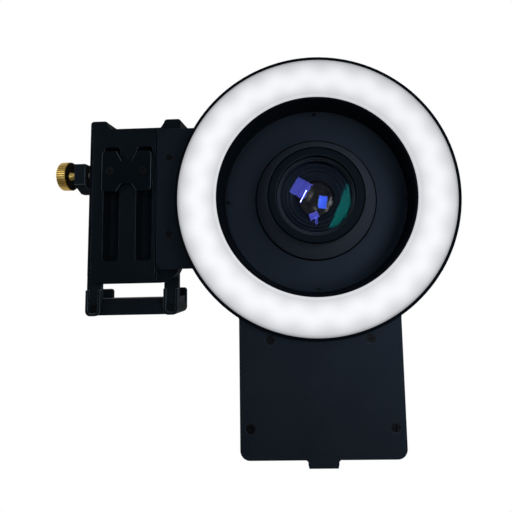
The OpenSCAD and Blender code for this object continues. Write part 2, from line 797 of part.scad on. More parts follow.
// Control box
module box_cover() color("#181b20") difference() {
    union() {
        slab(cover_y, tub_y) difference() {
            box_outline();
            circle(ring_r + seam_fit);
        }
        // Tab in front of the key, with small fillets beside it
        slab(cover_y, tub_y) {
            tab_outline(tab_out, box_bottom_z + over);
            for (side = [-1, 1]) scale_x(side) difference() {
                rect(key_w / 2 - over, box_bottom_z - key_guard, key_w / 2 + key_guard, box_bottom_z + over);
                translate([key_w / 2 + key_guard, box_bottom_z - key_guard])
                    circle(key_guard + fillet_bite);
            }
        }
    }
    at(cover_screw_at) translate([0, cover_y, 0])
        flush_hole(cover_screw_head_r, cover_screw_head_t, cover_screw_r, cover_t + over);
}
// Outline of the tab and the key, which taper towards their end
module tab_outline(out, top_z) polygon([[-key_w / 2 + key_taper, box_bottom_z - out],
    [key_w / 2 - key_taper, box_bottom_z - out], [key_w / 2, box_bottom_z - out / 2], [key_w / 2, top_z],
    [-key_w / 2, top_z], [-key_w / 2, box_bottom_z - out / 2]]);
module cover_screws() color("#222428") at(cover_screw_at) translate([0, cover_y, 0])
    flush_screw(cover_screw_head_r, cover_screw_head_t, cover_screw_r, cover_screw_l);
module battery() color("#b9bdc4") slab(battery_y, inner_back_y)
    round_rect(-battery_w / 2, battery_z, battery_w / 2, battery_z + battery_h, battery_corner);
module driver_board() color("#1e5a37") difference() {
    translate([-driver_w / 2, driver_y, driver_z]) cube([driver_w, driver_t, driver_h]);
    at(driver_post_at) bar_y(driver_screw_r + fit, driver_y - over, driver_y + driver_t + over);
}
module board_screws() color("#9a9da3") at([driver_post_at[0], driver_post_at[3]]) translate([0, driver_y, 0])
    head_screw(driver_screw_head_r, driver_screw_head_t, driver_screw_r, driver_screw_l);
module key_switch() color("#2b2d31") difference() {
    translate([-switch_w / 2, driver_y - switch_depth, switch_z])
        cube([switch_w, switch_depth, switch_h]);
    bar_z(switch_bore_r, switch_z - over, switch_z + switch_bore_l, 0, switch_y);
}
// Tab that is pressed upwards, with a flange inside the wall and a stem into the switch
module power_key() color("#191c21") {
    slab(key_y, key_back_y) {
        tab_outline(key_out, key_flange_z + key_flange_t);
        rect(-key_flange_x, key_flange_z, key_flange_x, key_flange_z + key_flange_t);
    }
    bar_z(key_stem_r, key_flange_z, switch_z + key_stem_in, 0, switch_y);
}
// Metal shell of the port with its mouth at the bottom
module charging_port() color("#b8bbc0") difference() {
    x0 = port_x - port_w / 2;
    y0 = driver_y - port_h;
    z0 = box_bottom_z + port_set;
    translate([x0, y0, z0]) cube([port_w, port_h, port_l]);
    translate([x0 + port_wall, y0 + port_wall, z0 - over])
        cube([port_w - 2 * port_wall, port_h - 2 * port_wall, port_l - port_end + over]);
}
module lamp_leads() color("#a3302c") for (x = [-lead_x, lead_x]) {
    bar_y(lead_wire_r, lamp_board_y, lead_run_y, x, -lead_r);
    translate([x, lead_run_y, -lead_r]) sphere(lead_wire_r);
    bar_z(lead_wire_r, lead_end_z, -lead_r, x, lead_run_y);
    translate([x, lead_run_y, lead_end_z]) sphere(lead_wire_r);
    bar_y(lead_wire_r, driver_y + driver_t, lead_run_y, x, lead_end_z);
}
module battery_leads() color("#2c2c30") for (x = [-battery_lead_x, battery_lead_x]) {
    bar_z(lead_wire_r, battery_z + battery_h, lead_end_z, x, battery_lead_y);
    translate([x, battery_lead_y, lead_end_z]) sphere(lead_wire_r);
    bar_y(lead_wire_r, driver_y + driver_t, battery_lead_y, x, lead_end_z);
}

// Clamp
// Slotted plate with a raised panel and two claws at the top
module clamp_frame() color("#121417") difference() {
    union() {
        slab(frame_y, frame_back_y)
            low_round_rect(frame_left_x, frame_low_z, frame_right_x, frame_top_z,
                frame_corner_left, frame_corner_right);
        slab(panel_y, frame_y + over)
            round_rect(panel_left_x, panel_low_z, panel_left_x + panel_w, panel_top_z, panel_corner);
        for (x = claw_x) intersection() {
            along_x(x, x + claw_w) polygon([[frame_y, claw_root_z], [frame_y, claw_top_z],
                [lip_back_y, claw_top_z], [lip_back_y, lip_end_z], [lip_y, lip_end_z],
                [lip_y, frame_top_z], [frame_back_y, frame_top_z], [frame_back_y, claw_root_z]]);
            slab(frame_y - over, lip_back_y + over)
                round_rect(x, lip_end_z, x + claw_w, claw_top_z, claw_corner);
        }
        claw_foot(claw_x[0] + claw_w, 1);
        claw_foot(claw_x[1], -1);
    }
    slab(panel_y - over, frame_back_y + over) for (x = slot_x)
        round_rect(x - slot_w / 2, slot_low_z, x + slot_w / 2, slot_top_z, slot_corner);
    at(frame_screw_at) bar_y(frame_screw_r + fit, frame_y - over, frame_y + frame_screw_bite);
}
// Slope from the inner side of a claw down to the top of the frame
module claw_foot(x, side) slab(frame_y, frame_back_y) polygon([
    [x - side * over, claw_top_z - claw_corner], [x, claw_top_z - claw_corner],
    [x + side * claw_slope, frame_top_z], [x + side * claw_slope, frame_top_z - over],
    [x - side * over, frame_top_z - over]]);
module frame_screws() color("#0d0e10") at(frame_screw_at) translate([0, arm_y + frame_screw_seat, 0])
    head_screw(frame_screw_head_r, frame_screw_head_t, frame_screw_r,
        arm_t - frame_screw_seat + frame_screw_bite - screw_room);
module upper_pads() color("#1d1e20") for (x = claw_x) slab(device_y + slide_gap, lip_y - slide_gap)
    rect(x + pad_in, grip_top_z, x + claw_w - pad_in, frame_top_z);
// Plate behind the frame with two guides, two legs and the lug of the lock screw
module jaw_carriage() color("#131518") difference() {
    union() {
        slab(carriage_y, carriage_back_y) {
            rect(slot_mid_x - spine_half_w, beam_low_z, slot_mid_x + spine_half_w, spine_top_z);
            rect(jaw_left_x, beam_low_z, jaw_right_x, beam_low_z + beam_h);
            rect(lug_left_x, lug_face_low_z - lug_gusset, slot_mid_x, lug_top_z);
            for (x = leg_x)
                low_round_rect(x, bar_low_z, x + leg_w, beam_low_z + over, leg_corner, leg_corner);
        }
        for (x = slot_x) slab(slider_back_y, carriage_y + carriage_t / 2)
            round_rect(x - guide_w / 2, guide_low_z, x + guide_w / 2, guide_top_z, slot_corner - slide_fit);
        for (x = leg_x) slab(leg_front_y, carriage_y + carriage_t / 2) difference() {
            intersection() {
                low_round_rect(x, bar_low_z, x + leg_w, leg_top_z, leg_corner, leg_corner);
                rect(x, bar_low_z, x + leg_w, leg_top_z);
            }
            low_round_rect(x + leg_rim, bar_low_z + leg_rim, x + leg_w - leg_rim, leg_top_z + over,
                leg_corner - leg_rim, leg_corner - leg_rim);
        }
        along_x(lug_left_x, lug_right_x) polygon([[lug_front_y, lug_face_low_z], [lug_front_y, lug_top_z],
            [carriage_back_y, lug_top_z], [carriage_back_y, lug_face_low_z - lug_gusset],
            [lug_front_y + 2 * lug_gusset, lug_face_low_z - lug_gusset]]);
    }
    bar_x(lock_r + fit + bush_wall, lug_left_x - over, lug_right_x + over, lock_y, lock_z);
    at(slider_screw_at) bar_y(slider_screw_r + fit, slider_back_y - over, slider_back_y + slider_screw_bite);
    at(jaw_screw_at) bar_y(jaw_screw_r + fit, leg_front_y - over, carriage_back_y + over);
}
module slider_plate() color("#15171a") difference() {
    slab(slider_y, slider_back_y) difference() {
        round_rect(slot_mid_x - slider_w / 2, slider_low_z, slot_mid_x + slider_w / 2, slider_top_z,
            slider_corner);
        slider_notch(slider_low_z, slider_notch_h);
        slider_notch(slider_top_z, -slider_upper_notch_h);
    }
    at(slider_screw_at) translate([0, slider_y, 0])
        flush_hole(slider_screw_head_r, slider_screw_head_t, slider_screw_r, slider_t + over);
}
// Notch that narrows away from the edge at a height z
module slider_notch(z, h) polygon([[slot_mid_x - slider_notch_mouth / 2, z],
    [slot_mid_x + slider_notch_mouth / 2, z], [slot_mid_x + slider_notch_top / 2, z + h],
    [slot_mid_x - slider_notch_top / 2, z + h]]);
module slider_screws() color("#0d0e10") at(slider_screw_at) translate([0, slider_y, 0])
    flush_screw(slider_screw_head_r, slider_screw_head_t, slider_screw_r,
        slider_t + slider_screw_bite - screw_room);
// Shelf under the device with two claws behind it
module jaw_bar() color("#131518") difference() {
    union() {
        slab(carriage_back_y, lip_y)
            low_round_rect(jaw_left_x, bar_low_z, jaw_right_x, bar_top_z, leg_corner, leg_corner);
        for (x = leg_x) slab(lip_y - over, lip_back_y) {
            low_round_rect(x, bar_low_z, x + leg_w, bar_top_z, leg_corner, leg_corner);
            round_rect(x, bar_low_z + leg_corner, x + leg_w, grip_low_z + lip_over, claw_corner);
        }
    }
    slab(carriage_back_y, lip_y)
        rect(jaw_left_x - over, bar_top_z, jaw_right_x + over, grip_low_z + lip_over + over);
    at(jaw_screw_at) bar_y(jaw_screw_r + fit, carriage_back_y - over, carriage_back_y + jaw_screw_bite);
}
module jaw_screws() color("#0b0c0e") at(jaw_screw_at) translate([0, carriage_y, 0])
    head_screw(jaw_screw_head_r, jaw_screw_head_t, jaw_screw_r, carriage_t + jaw_screw_bite - screw_room);
module lower_pad() color("#1d1e20") slab(device_y + slide_gap, lip_y - slide_gap)
    rect(jaw_left_x + pad_in, bar_top_z, jaw_right_x - pad_in, grip_low_z);
module back_pad() color("#202124") slab(carriage_back_y, device_y)
    round_rect(slot_mid_x - spine_half_w + back_pad_in, beam_low_z + back_pad_in,
        slot_mid_x + spine_half_w - back_pad_in, spine_top_z - back_pad_in, back_pad_corner);

// Lock screw
module lug_bush() color("#b98a3a") difference() {
    bar_x(lock_r + fit + bush_wall, lug_left_x, lug_right_x, lock_y, lock_z);
    bar_x(lock_r + fit, lug_left_x - over, lug_right_x + over, lock_y, lock_z);
}
// Knurled head, neck and shank
module lock_screw() color("#c99a3f") {
    tip_back_x = frame_left_x - tip_contact - tip_l;
    crest = [for (i = [0 : 2 * knob_teeth - 1])
        let (a = i * 180 / knob_teeth) (knob_r - (i % 2) * knurl_depth) * [cos(a), sin(a)]];
    difference() {
        union() {
            intersection() {
                translate([0, lock_y, lock_z]) along_x(knob_right_x - knob_l, knob_right_x) polygon(crest);
                translate([knob_right_x - knob_l, lock_y, lock_z]) rotate([0, 90, 0]) rotate_extrude()
                    polygon([[0, 0], [knob_r - knob_round, 0], [knob_r + over, knob_round + over],
                        [knob_r + over, knob_l - knob_edge - over], [knob_r - knob_edge, knob_l],
                        [0, knob_l]]);
            }
            bar_x(lock_r, knob_right_x - knob_edge, tip_back_x - fit, lock_y, lock_z);
        }
        bar_x(tip_stem_r + fit, tip_back_x - tip_stem_l - 2 * fit, tip_back_x + over, lock_y, lock_z);
    }
}
// Plain tip that presses on the frame and doesn't turn with the screw
module lock_tip() color("#d8d2bd") {
    tip_x = frame_left_x - tip_contact;
    bar_x(tip_r, tip_x - tip_l, tip_x, lock_y, lock_z);
    bar_x(tip_stem_r, tip_x - tip_l - tip_stem_l, tip_x - tip_l / 2, lock_y, lock_z);
}

front_ring();
diffuser();
reflector_tray();
lamp_board();
lamps();
rear_shell();
shell_screws();
lens_plate();
plate_screws();
lens_barrel();
lens_front_ring();
front_glass();
lens_spacer();
rear_glass();
rear_retainer();
lens_lock_ring();
rear_gasket();
box_cover();
cover_screws();
battery();
driver_board();
board_screws();
key_switch();
power_key();
charging_port();
lamp_leads();
battery_leads();
clamp_frame();
frame_screws();
upper_pads();
jaw_carriage();
slider_plate();
slider_screws();
jaw_bar();
jaw_screws();
lower_pad();
back_pad();
lug_bush();
lock_screw();
lock_tip();
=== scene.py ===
import json
import math

import bmesh
import bpy
from mathutils import Matrix, Vector


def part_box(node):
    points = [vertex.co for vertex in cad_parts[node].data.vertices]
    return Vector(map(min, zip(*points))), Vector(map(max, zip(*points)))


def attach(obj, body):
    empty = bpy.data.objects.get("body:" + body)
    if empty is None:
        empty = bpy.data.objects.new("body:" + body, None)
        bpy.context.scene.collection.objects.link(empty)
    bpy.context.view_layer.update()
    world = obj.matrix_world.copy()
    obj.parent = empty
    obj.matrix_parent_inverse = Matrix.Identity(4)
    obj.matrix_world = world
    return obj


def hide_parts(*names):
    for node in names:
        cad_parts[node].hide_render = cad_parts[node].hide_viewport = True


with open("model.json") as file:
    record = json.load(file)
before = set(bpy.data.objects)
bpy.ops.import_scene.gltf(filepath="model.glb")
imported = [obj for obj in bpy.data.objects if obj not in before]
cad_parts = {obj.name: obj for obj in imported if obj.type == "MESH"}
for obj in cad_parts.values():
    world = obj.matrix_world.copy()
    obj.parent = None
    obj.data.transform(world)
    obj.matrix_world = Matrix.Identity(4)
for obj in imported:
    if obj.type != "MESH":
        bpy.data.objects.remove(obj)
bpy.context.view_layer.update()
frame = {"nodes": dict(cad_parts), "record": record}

MM = 0.001
FAR = 1000.0
IMAGE_SIDE = 512
ROUND_STEPS = 192
SHARP_EDGE, SHADE_EDGE, FLAT_FACES = (math.radians(a) for a in (32, 34, 0.6))
PATH_MERGE, SPIN_MERGE, SOLID_MERGE = 1e-7, 1e-6, 2e-6
TOUCH, NEAR_TOUCH = 1e-6, 1e-5
BODY_OF = {node: body for body, nodes in frame["record"]["behaviour"]["bodies"].items() for node in nodes}


# Selecting and shaping

def put_down():
    """Leaves edit mode with nothing selected."""
    if bpy.context.object and bpy.context.object.mode != "OBJECT":
        bpy.ops.object.mode_set(mode="OBJECT")
    bpy.ops.object.select_all(action="DESELECT")


def pick_up(piece):
    put_down()
    piece.select_set(True)
    bpy.context.view_layer.objects.active = piece


def open_mesh(piece):
    pick_up(piece)
    bpy.ops.object.mode_set(mode="EDIT")


def close_mesh():
    bpy.ops.object.mode_set(mode="OBJECT")


def choose_all():
    bpy.ops.mesh.select_all(action="SELECT")


def choose(kind, test):
    """Selects the faces or edges of the open mesh that pass a test."""
    bpy.ops.mesh.select_mode(type={"faces": "FACE", "edges": "EDGE"}[kind])
    bpy.ops.mesh.select_all(action="DESELECT")
    mesh = bpy.context.object.data
    shape = bmesh.from_edit_mesh(mesh)
    for part in getattr(shape, kind):
        if test(part):
            part.select_set(True)
    shape.select_flush_mode()
    bmesh.update_edit_mesh(mesh)


def name_piece(name):
    piece = bpy.context.object
    piece.name = name
    piece.data.name = name
    return piece


def fresh_copy(name, source):
    """New piece with a mesh of its own, copied from another."""
    put_down()
    piece = bpy.data.objects.new(name, source.data.copy())
    piece.data.name = name
    bpy.context.scene.collection.objects.link(piece)
    return piece


def place_in_mesh(piece):
    """Moves the object's place and turn into its mesh."""
    pick_up(piece)
    bpy.ops.object.transform_apply(location=True, rotation=True, scale=True)


def paint(piece, *finishes):
    """First the finish of the faces, then those of the edges and other parts."""
    piece.data.materials.clear()
    for finish in finishes:
        piece.data.materials.append(finish)


def give_finish(piece, index):
    """Gives the selected faces of the open mesh one of the piece's finishes."""
    piece.active_material_index = index
    bpy.ops.object.material_slot_assign()


def refinish(piece, index, test):
    """Gives the faces that pass a test one of the piece's finishes."""
    open_mesh(piece)
    choose("faces", test)
    give_finish(piece, index)
    close_mesh()


def add_finish(piece, finish, test):
    """Gives the faces that pass a test a finish that is new to the piece."""
    piece.data.materials.append(finish)
    refinish(piece, len(piece.data.materials) - 1, test)


def finish_zones(piece, finish, *zones):
    """Finishes the faces whose centres lie between the radii and planes of a zone, in mm."""
    def inside(face):
        centre = face.calc_center_median() / MM
        radius = math.hypot(centre.x, centre.z)
        return any(near < radius < far and low < centre.y < high for (near, far), (low, high) in zones)

    add_finish(piece, finish, inside)


def finish_ring(piece, finish, radii, planes):
    """Finishes the faces that lie with all their corners between two radii and two planes, in mm."""
    def within(v):
        radius = math.hypot(v.co.x, v.co.z) / MM
        return radii[0] < radius < radii[1] and planes[0] < v.co.y / MM < planes[1]

    add_finish(piece, finish, lambda face: all(within(v) for v in face.verts))


def drop_hole_highlights(piece, node, reach):
    """Takes the painted edge highlight off the edges of the holes that a node's two screws sit in."""
    low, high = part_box(node)
    half = (high.z - low.z) / 2
    centres = [Vector((x, 0, low.z + half)) for x in (low.x + half, high.x - half)]

    def at_hole(face):
        flat = face.calc_center_median()
        flat.y = 0
        return any((flat - c).length < half + reach * MM for c in centres)

    refinish(piece, 0, at_hole)


def drop_level_highlights(piece):
    """Takes the painted highlight off the edges that run level, so that only the upright ones keep it, as if
    lit from the sides.
    """
    refinish(piece, 0, lambda face: face.material_index == 1 and abs(face.normal.z) > abs(face.normal.x))


def round_edges(piece, width, segments=2):
    """Rounds the sharp edges with a bevel that is applied and takes the edge finish, on several pieces a
    lighter tone that paints a highlight along the edges.
    """
    pick_up(piece)
    bevel = piece.modifiers.new("rounding", "BEVEL")
    bevel.width = width * MM
    bevel.segments = segments
    bevel.limit_method = "ANGLE"
    bevel.angle_limit = SHARP_EDGE
    bevel.use_clamp_overlap = True
    bevel.material = len(piece.data.materials) - 1
    bpy.ops.object.modifier_apply(modifier=bevel.name)


def even_normals(piece):
    """Lets the large faces lead the shading, so that flat walls look flat."""
    pick_up(piece)
    lead = piece.modifiers.new("even_normals", "WEIGHTED_NORMAL")
    lead.mode = "FACE_AREA"
    lead.weight = 100
    lead.keep_sharp = True
    bpy.ops.object.modifier_apply(modifier=lead.name)


def smooth(piece):
    pick_up(piece)
    bpy.ops.object.shade_smooth_by_angle(angle=SHADE_EDGE)


def hand_over(piece, node):
    """Lets a piece move with the body of a node and stand for it."""
    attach(piece, BODY_OF[node])
    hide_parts(node)
    put_down()


def along(letter, amount):
    way = Vector((0, 0, 0))
    way["xyz".index(letter)] = amount
    return way


def rounded_outline(points, steps=5, reach_limit=0.48):
    """Outline with its corners rounded; a point is (radius, y) or (radius, y, rounding), in mm."""
    out = []
    count = len(points)
    for i, point in enumerate(points):
        here = Vector(point[:2])
        rounding = point[2] if len(point) > 2 else 0
        if not rounding:
            out.append(here)
            continue
        before = Vector(points[i - 1][:2]) - here
        after = Vector(points[(i + 1) % count][:2]) - here
        half = before.angle(after) / 2
        reach = min(rounding / math.tan(half), before.length * reach_limit, after.length * reach_limit)
        start = here + before.normalized() * reach
        end = here + after.normalized() * reach
        for k in range(steps + 1):
            t = k / steps
            out.append(start * (1 - t) ** 2 + here * (2 * t * (1 - t)) + end * t ** 2)
    return out


def turned_piece(name, points, finish, closed=True, steps=ROUND_STEPS):
    """Spins an outline in radius and y about the optical axis."""
    put_down()
    bpy.ops.mesh.primitive_plane_add(size=2 * MM, location=(0, 0, 0))
    piece = name_piece(name)
    bpy.ops.object.mode_set(mode="EDIT")
    bpy.ops.mesh.select_mode(type="VERT")
    choose_all()
    bpy.ops.mesh.merge(type="CENTER")
    path = [Vector((p[0] * MM, p[1] * MM, 0)) for p in points]
    if closed:
        path.append(path[0])
    bpy.ops.transform.translate(value=path[0])
    for a, b in zip(path, path[1:]):
        bpy.ops.mesh.extrude_region_move(TRANSFORM_OT_translate={"value": b - a})
    choose_all()
    bpy.ops.mesh.remove_doubles(threshold=PATH_MERGE)
    choose_all()
    bpy.ops.mesh.spin(steps=steps, angle=2 * math.pi, center=(0, 0, 0), axis=(0, 1, 0))
    choose_all()
    bpy.ops.mesh.remove_doubles(threshold=SPIN_MERGE)
    choose_all()
    bpy.ops.mesh.normals_make_consistent(inside=False)
    close_mesh()
    paint(piece, finish)
    smooth(piece)
    return piece


def moulded_copy(name, node, width, segments, finish, edge_finish, shaping=None):
    """Copy of a node's solid, merged, with its flat faces made whole and its edges rounded."""
    piece = fresh_copy(name, frame["nodes"][node])
    paint(piece, finish, edge_finish)
    open_mesh(piece)
    choose_all()
    bpy.ops.mesh.remove_doubles(threshold=SOLID_MERGE)
    choose_all()
    bpy.ops.mesh.customdata_custom_splitnormals_clear()
    bpy.ops.mesh.dissolve_limited(angle_limit=FLAT_FACES)
    if shaping:
        shaping()
    close_mesh()
    round_edges(piece, width, segments)
    smooth(piece)
    even_normals(piece)
    return piece


# Finishes

class Finish:
    """Material on the piece's own coordinates, built node by node."""

    def __init__(self, name):
        self.material = bpy.data.materials.new(name)
        self.material.use_nodes = True
        self.nodes = self.material.node_tree.nodes
        self.links = self.material.node_tree.links
        self.shader = self.nodes["Principled BSDF"]
        self.place = self.nodes.new("ShaderNodeTexCoord").outputs["Object"]
        self.normal = None

    def set(self, **values):
        for key, value in values.items():
            self.shader.inputs[key.replace("_", " ")].default_value = value

    def join(self, source, socket):
        self.links.new(source, self.shader.inputs[socket])

    def stretched(self, scale, turn=(0, 0, 0)):
        node = self.nodes.new("ShaderNodeMapping")
        node.inputs["Scale"].default_value = scale
        node.inputs["Rotation"].default_value = turn
        self.links.new(self.place, node.inputs["Vector"])
        return node.outputs["Vector"]

    def grain(self, size, detail=2.0, vector=None):
        """Noise whose patches are about a size in mm."""
        node = self.nodes.new("ShaderNodeTexNoise")
        node.inputs["Scale"].default_value = 1 / (size * MM)
        node.inputs["Detail"].default_value = detail
        node.inputs["Roughness"].default_value = 0.55
        self.links.new(vector or self.place, node.inputs["Vector"])
        return node.outputs["Fac"]

    def sums(self, kind, a, b=None):
        node = self.nodes.new("ShaderNodeMath")
        node.operation = kind
        for socket, value in zip(node.inputs, (a, b)):
            if value is None:
                continue
            if isinstance(value, (int, float)):
                socket.default_value = value
            else:
                self.links.new(value, socket)
        return node.outputs[0]

    def axis(self, letter):
        node = self.nodes.new("ShaderNodeSeparateXYZ")
        self.links.new(self.place, node.inputs[0])
        return node.outputs[letter]

    def radius(self):
        """Distance from the optical axis, in metres."""
        flat = self.nodes.new("ShaderNodeVectorMath")
        flat.operation = "MULTIPLY"
        flat.inputs[1].default_value = (1, 0, 1)
        self.links.new(self.place, flat.inputs[0])
        length = self.nodes.new("ShaderNodeVectorMath")
        length.operation = "LENGTH"
        self.links.new(flat.outputs[0], length.inputs[0])
        return length.outputs["Value"]

    def spread(self, value, low, high):
        """Takes low to 0 and high to 1."""
        node = self.nodes.new("ShaderNodeMapRange")
        node.inputs["From Min"].default_value = low
        node.inputs["From Max"].default_value = high
        self.links.new(value, node.inputs["Value"])
        return node.outputs["Result"]

    def ramp(self, value, stops):
        node = self.nodes.new("ShaderNodeValToRGB")
        band = node.color_ramp
        while len(band.elements) < len(stops):
            band.elements.new(0.5)
        for element, (at, colour) in zip(band.elements, stops):
            element.position = at
            if isinstance(colour, (int, float)):
                colour = (colour, colour, colour)
            element.color = (*colour, 1)
        self.links.new(value, node.inputs["Fac"])
        return node.outputs["Color"]

    def mixed(self, a, b, amount, kind="MIX"):
        node = self.nodes.new("ShaderNodeMix")
        node.data_type = "RGBA"
        node.blend_type = kind
        sockets = {s.identifier: s for s in node.inputs}
        for socket, value in (("A_Color", a), ("B_Color", b)):
            if isinstance(value, tuple):
                sockets[socket].default_value = (*value, 1)
            else:
                self.links.new(value, sockets[socket])
        if isinstance(amount, (int, float)):
            sockets["Factor_Float"].default_value = amount
        else:
            self.links.new(amount, sockets["Factor_Float"])
        return next(s for s in node.outputs if s.identifier == "Result_Color")

    def bump(self, height, strength, depth):
        """Relief of a depth in mm."""
        node = self.nodes.new("ShaderNodeBump")
        node.inputs["Strength"].default_value = strength
        node.inputs["Distance"].default_value = depth * MM
        self.links.new(height, node.inputs["Height"])
        if self.normal:
            self.links.new(self.normal, node.inputs["Normal"])
        self.normal = node.outputs["Normal"]
        self.links.new(self.normal, self.shader.inputs["Normal"])


def shade(colour, factor):
    return tuple(c * factor for c in colour)


def grey(level):
    return (level, level, level)


WHITE = grey(1)
COOL = (0.44, 0.65, 1.0, 1.0)


def moulded_black(name, colour, grain=0.45, rough=(0.5, 0.6), relief=0.02, gloss=0.30, patch=14):
    """Fine-grained black moulding with a cool sheen and slight clouds in its tone."""
    f = Finish(name)
    fine = f.grain(grain, 3)
    clouds = f.grain(patch, 2)
    tone = f.ramp(fine, [(0.25, shade(colour, 0.72)), (0.75, shade(colour, 1.3))])
    cloud = f.ramp(clouds, [(0.3, (0.8, 0.81, 0.84)), (0.7, WHITE)])
    f.join(f.mixed(tone, cloud, 1.0, "MULTIPLY"), "Base Color")
    f.join(f.ramp(fine, [(0.3, rough[0]), (0.7, rough[1])]), "Roughness")
    f.bump(fine, 0.35, relief)
    f.set(Specular_IOR_Level=gloss, Specular_Tint=COOL)
    return f.material


def turned_black(name, colour, pitch=0.22, rough=(0.48, 0.58), relief=0.008, gloss=0.2):
    """Black anodised metal with the fine rings that turning leaves."""
    f = Finish(name)
    rings = f.sums("SINE", f.sums("MULTIPLY", f.radius(), 2 * math.pi / (pitch * MM)))
    rings = f.sums("MULTIPLY", f.sums("ADD", rings, 1.0), 0.5)
    dust = f.grain(0.6, 3)
    f.join(f.ramp(dust, [(0.25, shade(colour, 0.75)), (0.8, shade(colour, 1.3))]), "Base Color")
    f.join(f.ramp(rings, [(0.0, rough[0]), (1.0, rough[1])]), "Roughness")
    f.bump(rings, 0.3, relief)
    f.bump(dust, 0.15, relief)
    f.set(Specular_IOR_Level=gloss, Specular_Tint=COOL)
    return f.material


def soft_rubber(name, colour):
    """Matt rubber with a fine tooth and dull patches."""
    f = Finish(name)
    fine = f.grain(0.3, 4)
    tone = f.ramp(fine, [(0.2, shade(colour, 0.8)), (0.8, shade(colour, 1.2))])
    patches = f.ramp(f.grain(6, 2), [(0.3, grey(0.85)), (0.7, WHITE)])
    f.join(f.mixed(tone, patches, 1.0, "MULTIPLY"), "Base Color")
    f.join(f.ramp(fine, [(0.2, 0.78), (0.8, 0.92)]), "Roughness")
    f.bump(fine, 0.5, 0.04)
    f.set(Specular_IOR_Level=0.16, Specular_Tint=COOL)
    return f.material


def metal(name, dark, light, rough=(0.26, 0.42), drawn=(1, 1, 1), grain=0.5, relief=0.01):
    """Bare metal with fine marks drawn out along one way, and faint stains."""
    f = Finish(name)
    marks = f.grain(grain, 4, f.stretched(drawn))
    tone = f.ramp(marks, [(0.25, dark), (0.75, light)])
    stain = f.ramp(f.grain(5, 3), [(0.3, (0.78, 0.75, 0.7)), (0.65, WHITE)])
    f.join(f.mixed(tone, stain, 0.8, "MULTIPLY"), "Base Color")
    f.join(f.ramp(marks, [(0.3, rough[0]), (0.7, rough[1])]), "Roughness")
    f.bump(marks, 0.25, relief)
    f.set(Metallic=1.0)
    return f.material


DIFFUSER_IN, DIFFUSER_OUT, LIP_OUT = 42.35, 58.35, 58.65
LAMPS_ROUND = 25.0
LAMP_TINT = (0.996, 1.0, 1.034)
GLOW, GLOW_REST = 1.16, 0.86
MILK = 0.03
DRIFT, DRIFT_WAY = 0.045, math.radians(-160)
GLOW_LEVELS = [
    (0.0, 0.55), (0.04, 0.595), (0.07, 0.512), (0.10, 0.545), (0.15, 0.603), (0.20, 0.658), (0.30, 0.739),
    (0.40, 0.786), (0.50, 0.794), (0.60, 0.769), (0.70, 0.698), (0.80, 0.603), (0.90, 0.488), (0.95, 0.371),
    (0.98, 0.257), (1.0, 0.20),
]
LAMP_WAVES = [
    (0.0, 0.016), (0.10, 0.027), (0.25, 0.040), (0.35, 0.032), (0.47, 0.0), (0.60, -0.034), (0.70, -0.058),
    (0.82, -0.066), (0.92, -0.052), (1.0, -0.02),
]
WAVE_SCALE = 7.5


def lit_ring(name):
    """Milky ring lit from behind, with the waves that two staggered rows of light leave on it."""
    f = Finish(name)
    across = f.spread(f.radius(), DIFFUSER_IN * MM, LIP_OUT * MM)
    glow = f.ramp(across, [(at, shade(LAMP_TINT, level)) for at, level in GLOW_LEVELS])
    swing = f.ramp(across, [(at, 0.5 + WAVE_SCALE * wave) for at, wave in LAMP_WAVES])
    swing = f.sums("MULTIPLY", f.sums("SUBTRACT", swing, 0.5), 1 / WAVE_SCALE)
    angle = f.sums("ARCTAN2", f.axis("Z"), f.axis("X"))
    ripple = f.sums("MULTIPLY", f.sums("COSINE", f.sums("MULTIPLY", angle, LAMPS_ROUND)), swing)
    milk = f.sums("MULTIPLY", f.sums("SUBTRACT", f.grain(3, 3), 0.5), MILK)
    drift = f.sums("MULTIPLY", f.sums("COSINE", f.sums("SUBTRACT", angle, DRIFT_WAY)), DRIFT)
    ripple = f.sums("ADD", f.sums("ADD", ripple, drift), f.sums("ADD", milk, 1.0))
    # The mix stops at 1, so its rest level leaves room for the waves and the emission makes up for it
    ripple = f.sums("MULTIPLY", ripple, GLOW_REST)
    f.join(f.mixed((0, 0, 0), glow, ripple), "Emission Color")
    fine = f.grain(0.25, 2)
    f.join(f.ramp(fine, [(0.2, (0.095, 0.10, 0.105)), (0.8, (0.115, 0.12, 0.125))]), "Base Color")
    f.join(f.ramp(fine, [(0.2, 0.42), (0.8, 0.55)]), "Roughness")
    f.bump(fine, 0.2, 0.02)
    f.set(Emission_Strength=GLOW, Specular_IOR_Level=0.25)
    return f.material


GLASS_IOR = 1.9
COAT_ACROSS, COAT_UP = 0.85, 0.5
COAT_TURN, COAT_SOFT = 7.0, 2.2


def hazy_glass(name, through):
    """Lens glass with a faint haze and no coating yet."""
    f = Finish(name)
    haze = f.grain(4, 3)
    f.join(f.ramp(haze, [(0.3, 0.0), (0.75, 0.012)]), "Roughness")
    f.join(f.ramp(haze, [(0.2, shade(through, 0.9)), (0.8, through)]), "Base Color")
    f.set(Transmission_Weight=1.0, IOR=GLASS_IOR)
    return f


def coated_glass(name, through, near, far):
    """Lens glass whose coating goes from one hue to another across it."""
    f = hazy_glass(name, through)
    slant = f.sums("SUBTRACT", f.sums("MULTIPLY", f.axis("X"), COAT_ACROSS),
                   f.sums("MULTIPLY", f.axis("Z"), COAT_UP))
    change = f.spread(slant, (COAT_TURN - COAT_SOFT) * MM, (COAT_TURN + COAT_SOFT) * MM)
    f.join(f.ramp(change, [(0.0, near), (1.0, far)]), "Specular Tint")
    return f.material


def plain_glass(name, through, tint):
    """Lens glass whose coating has one hue."""
    f = hazy_glass(name, through)
    f.set(Specular_Tint=(*tint, 1))
    return f.material


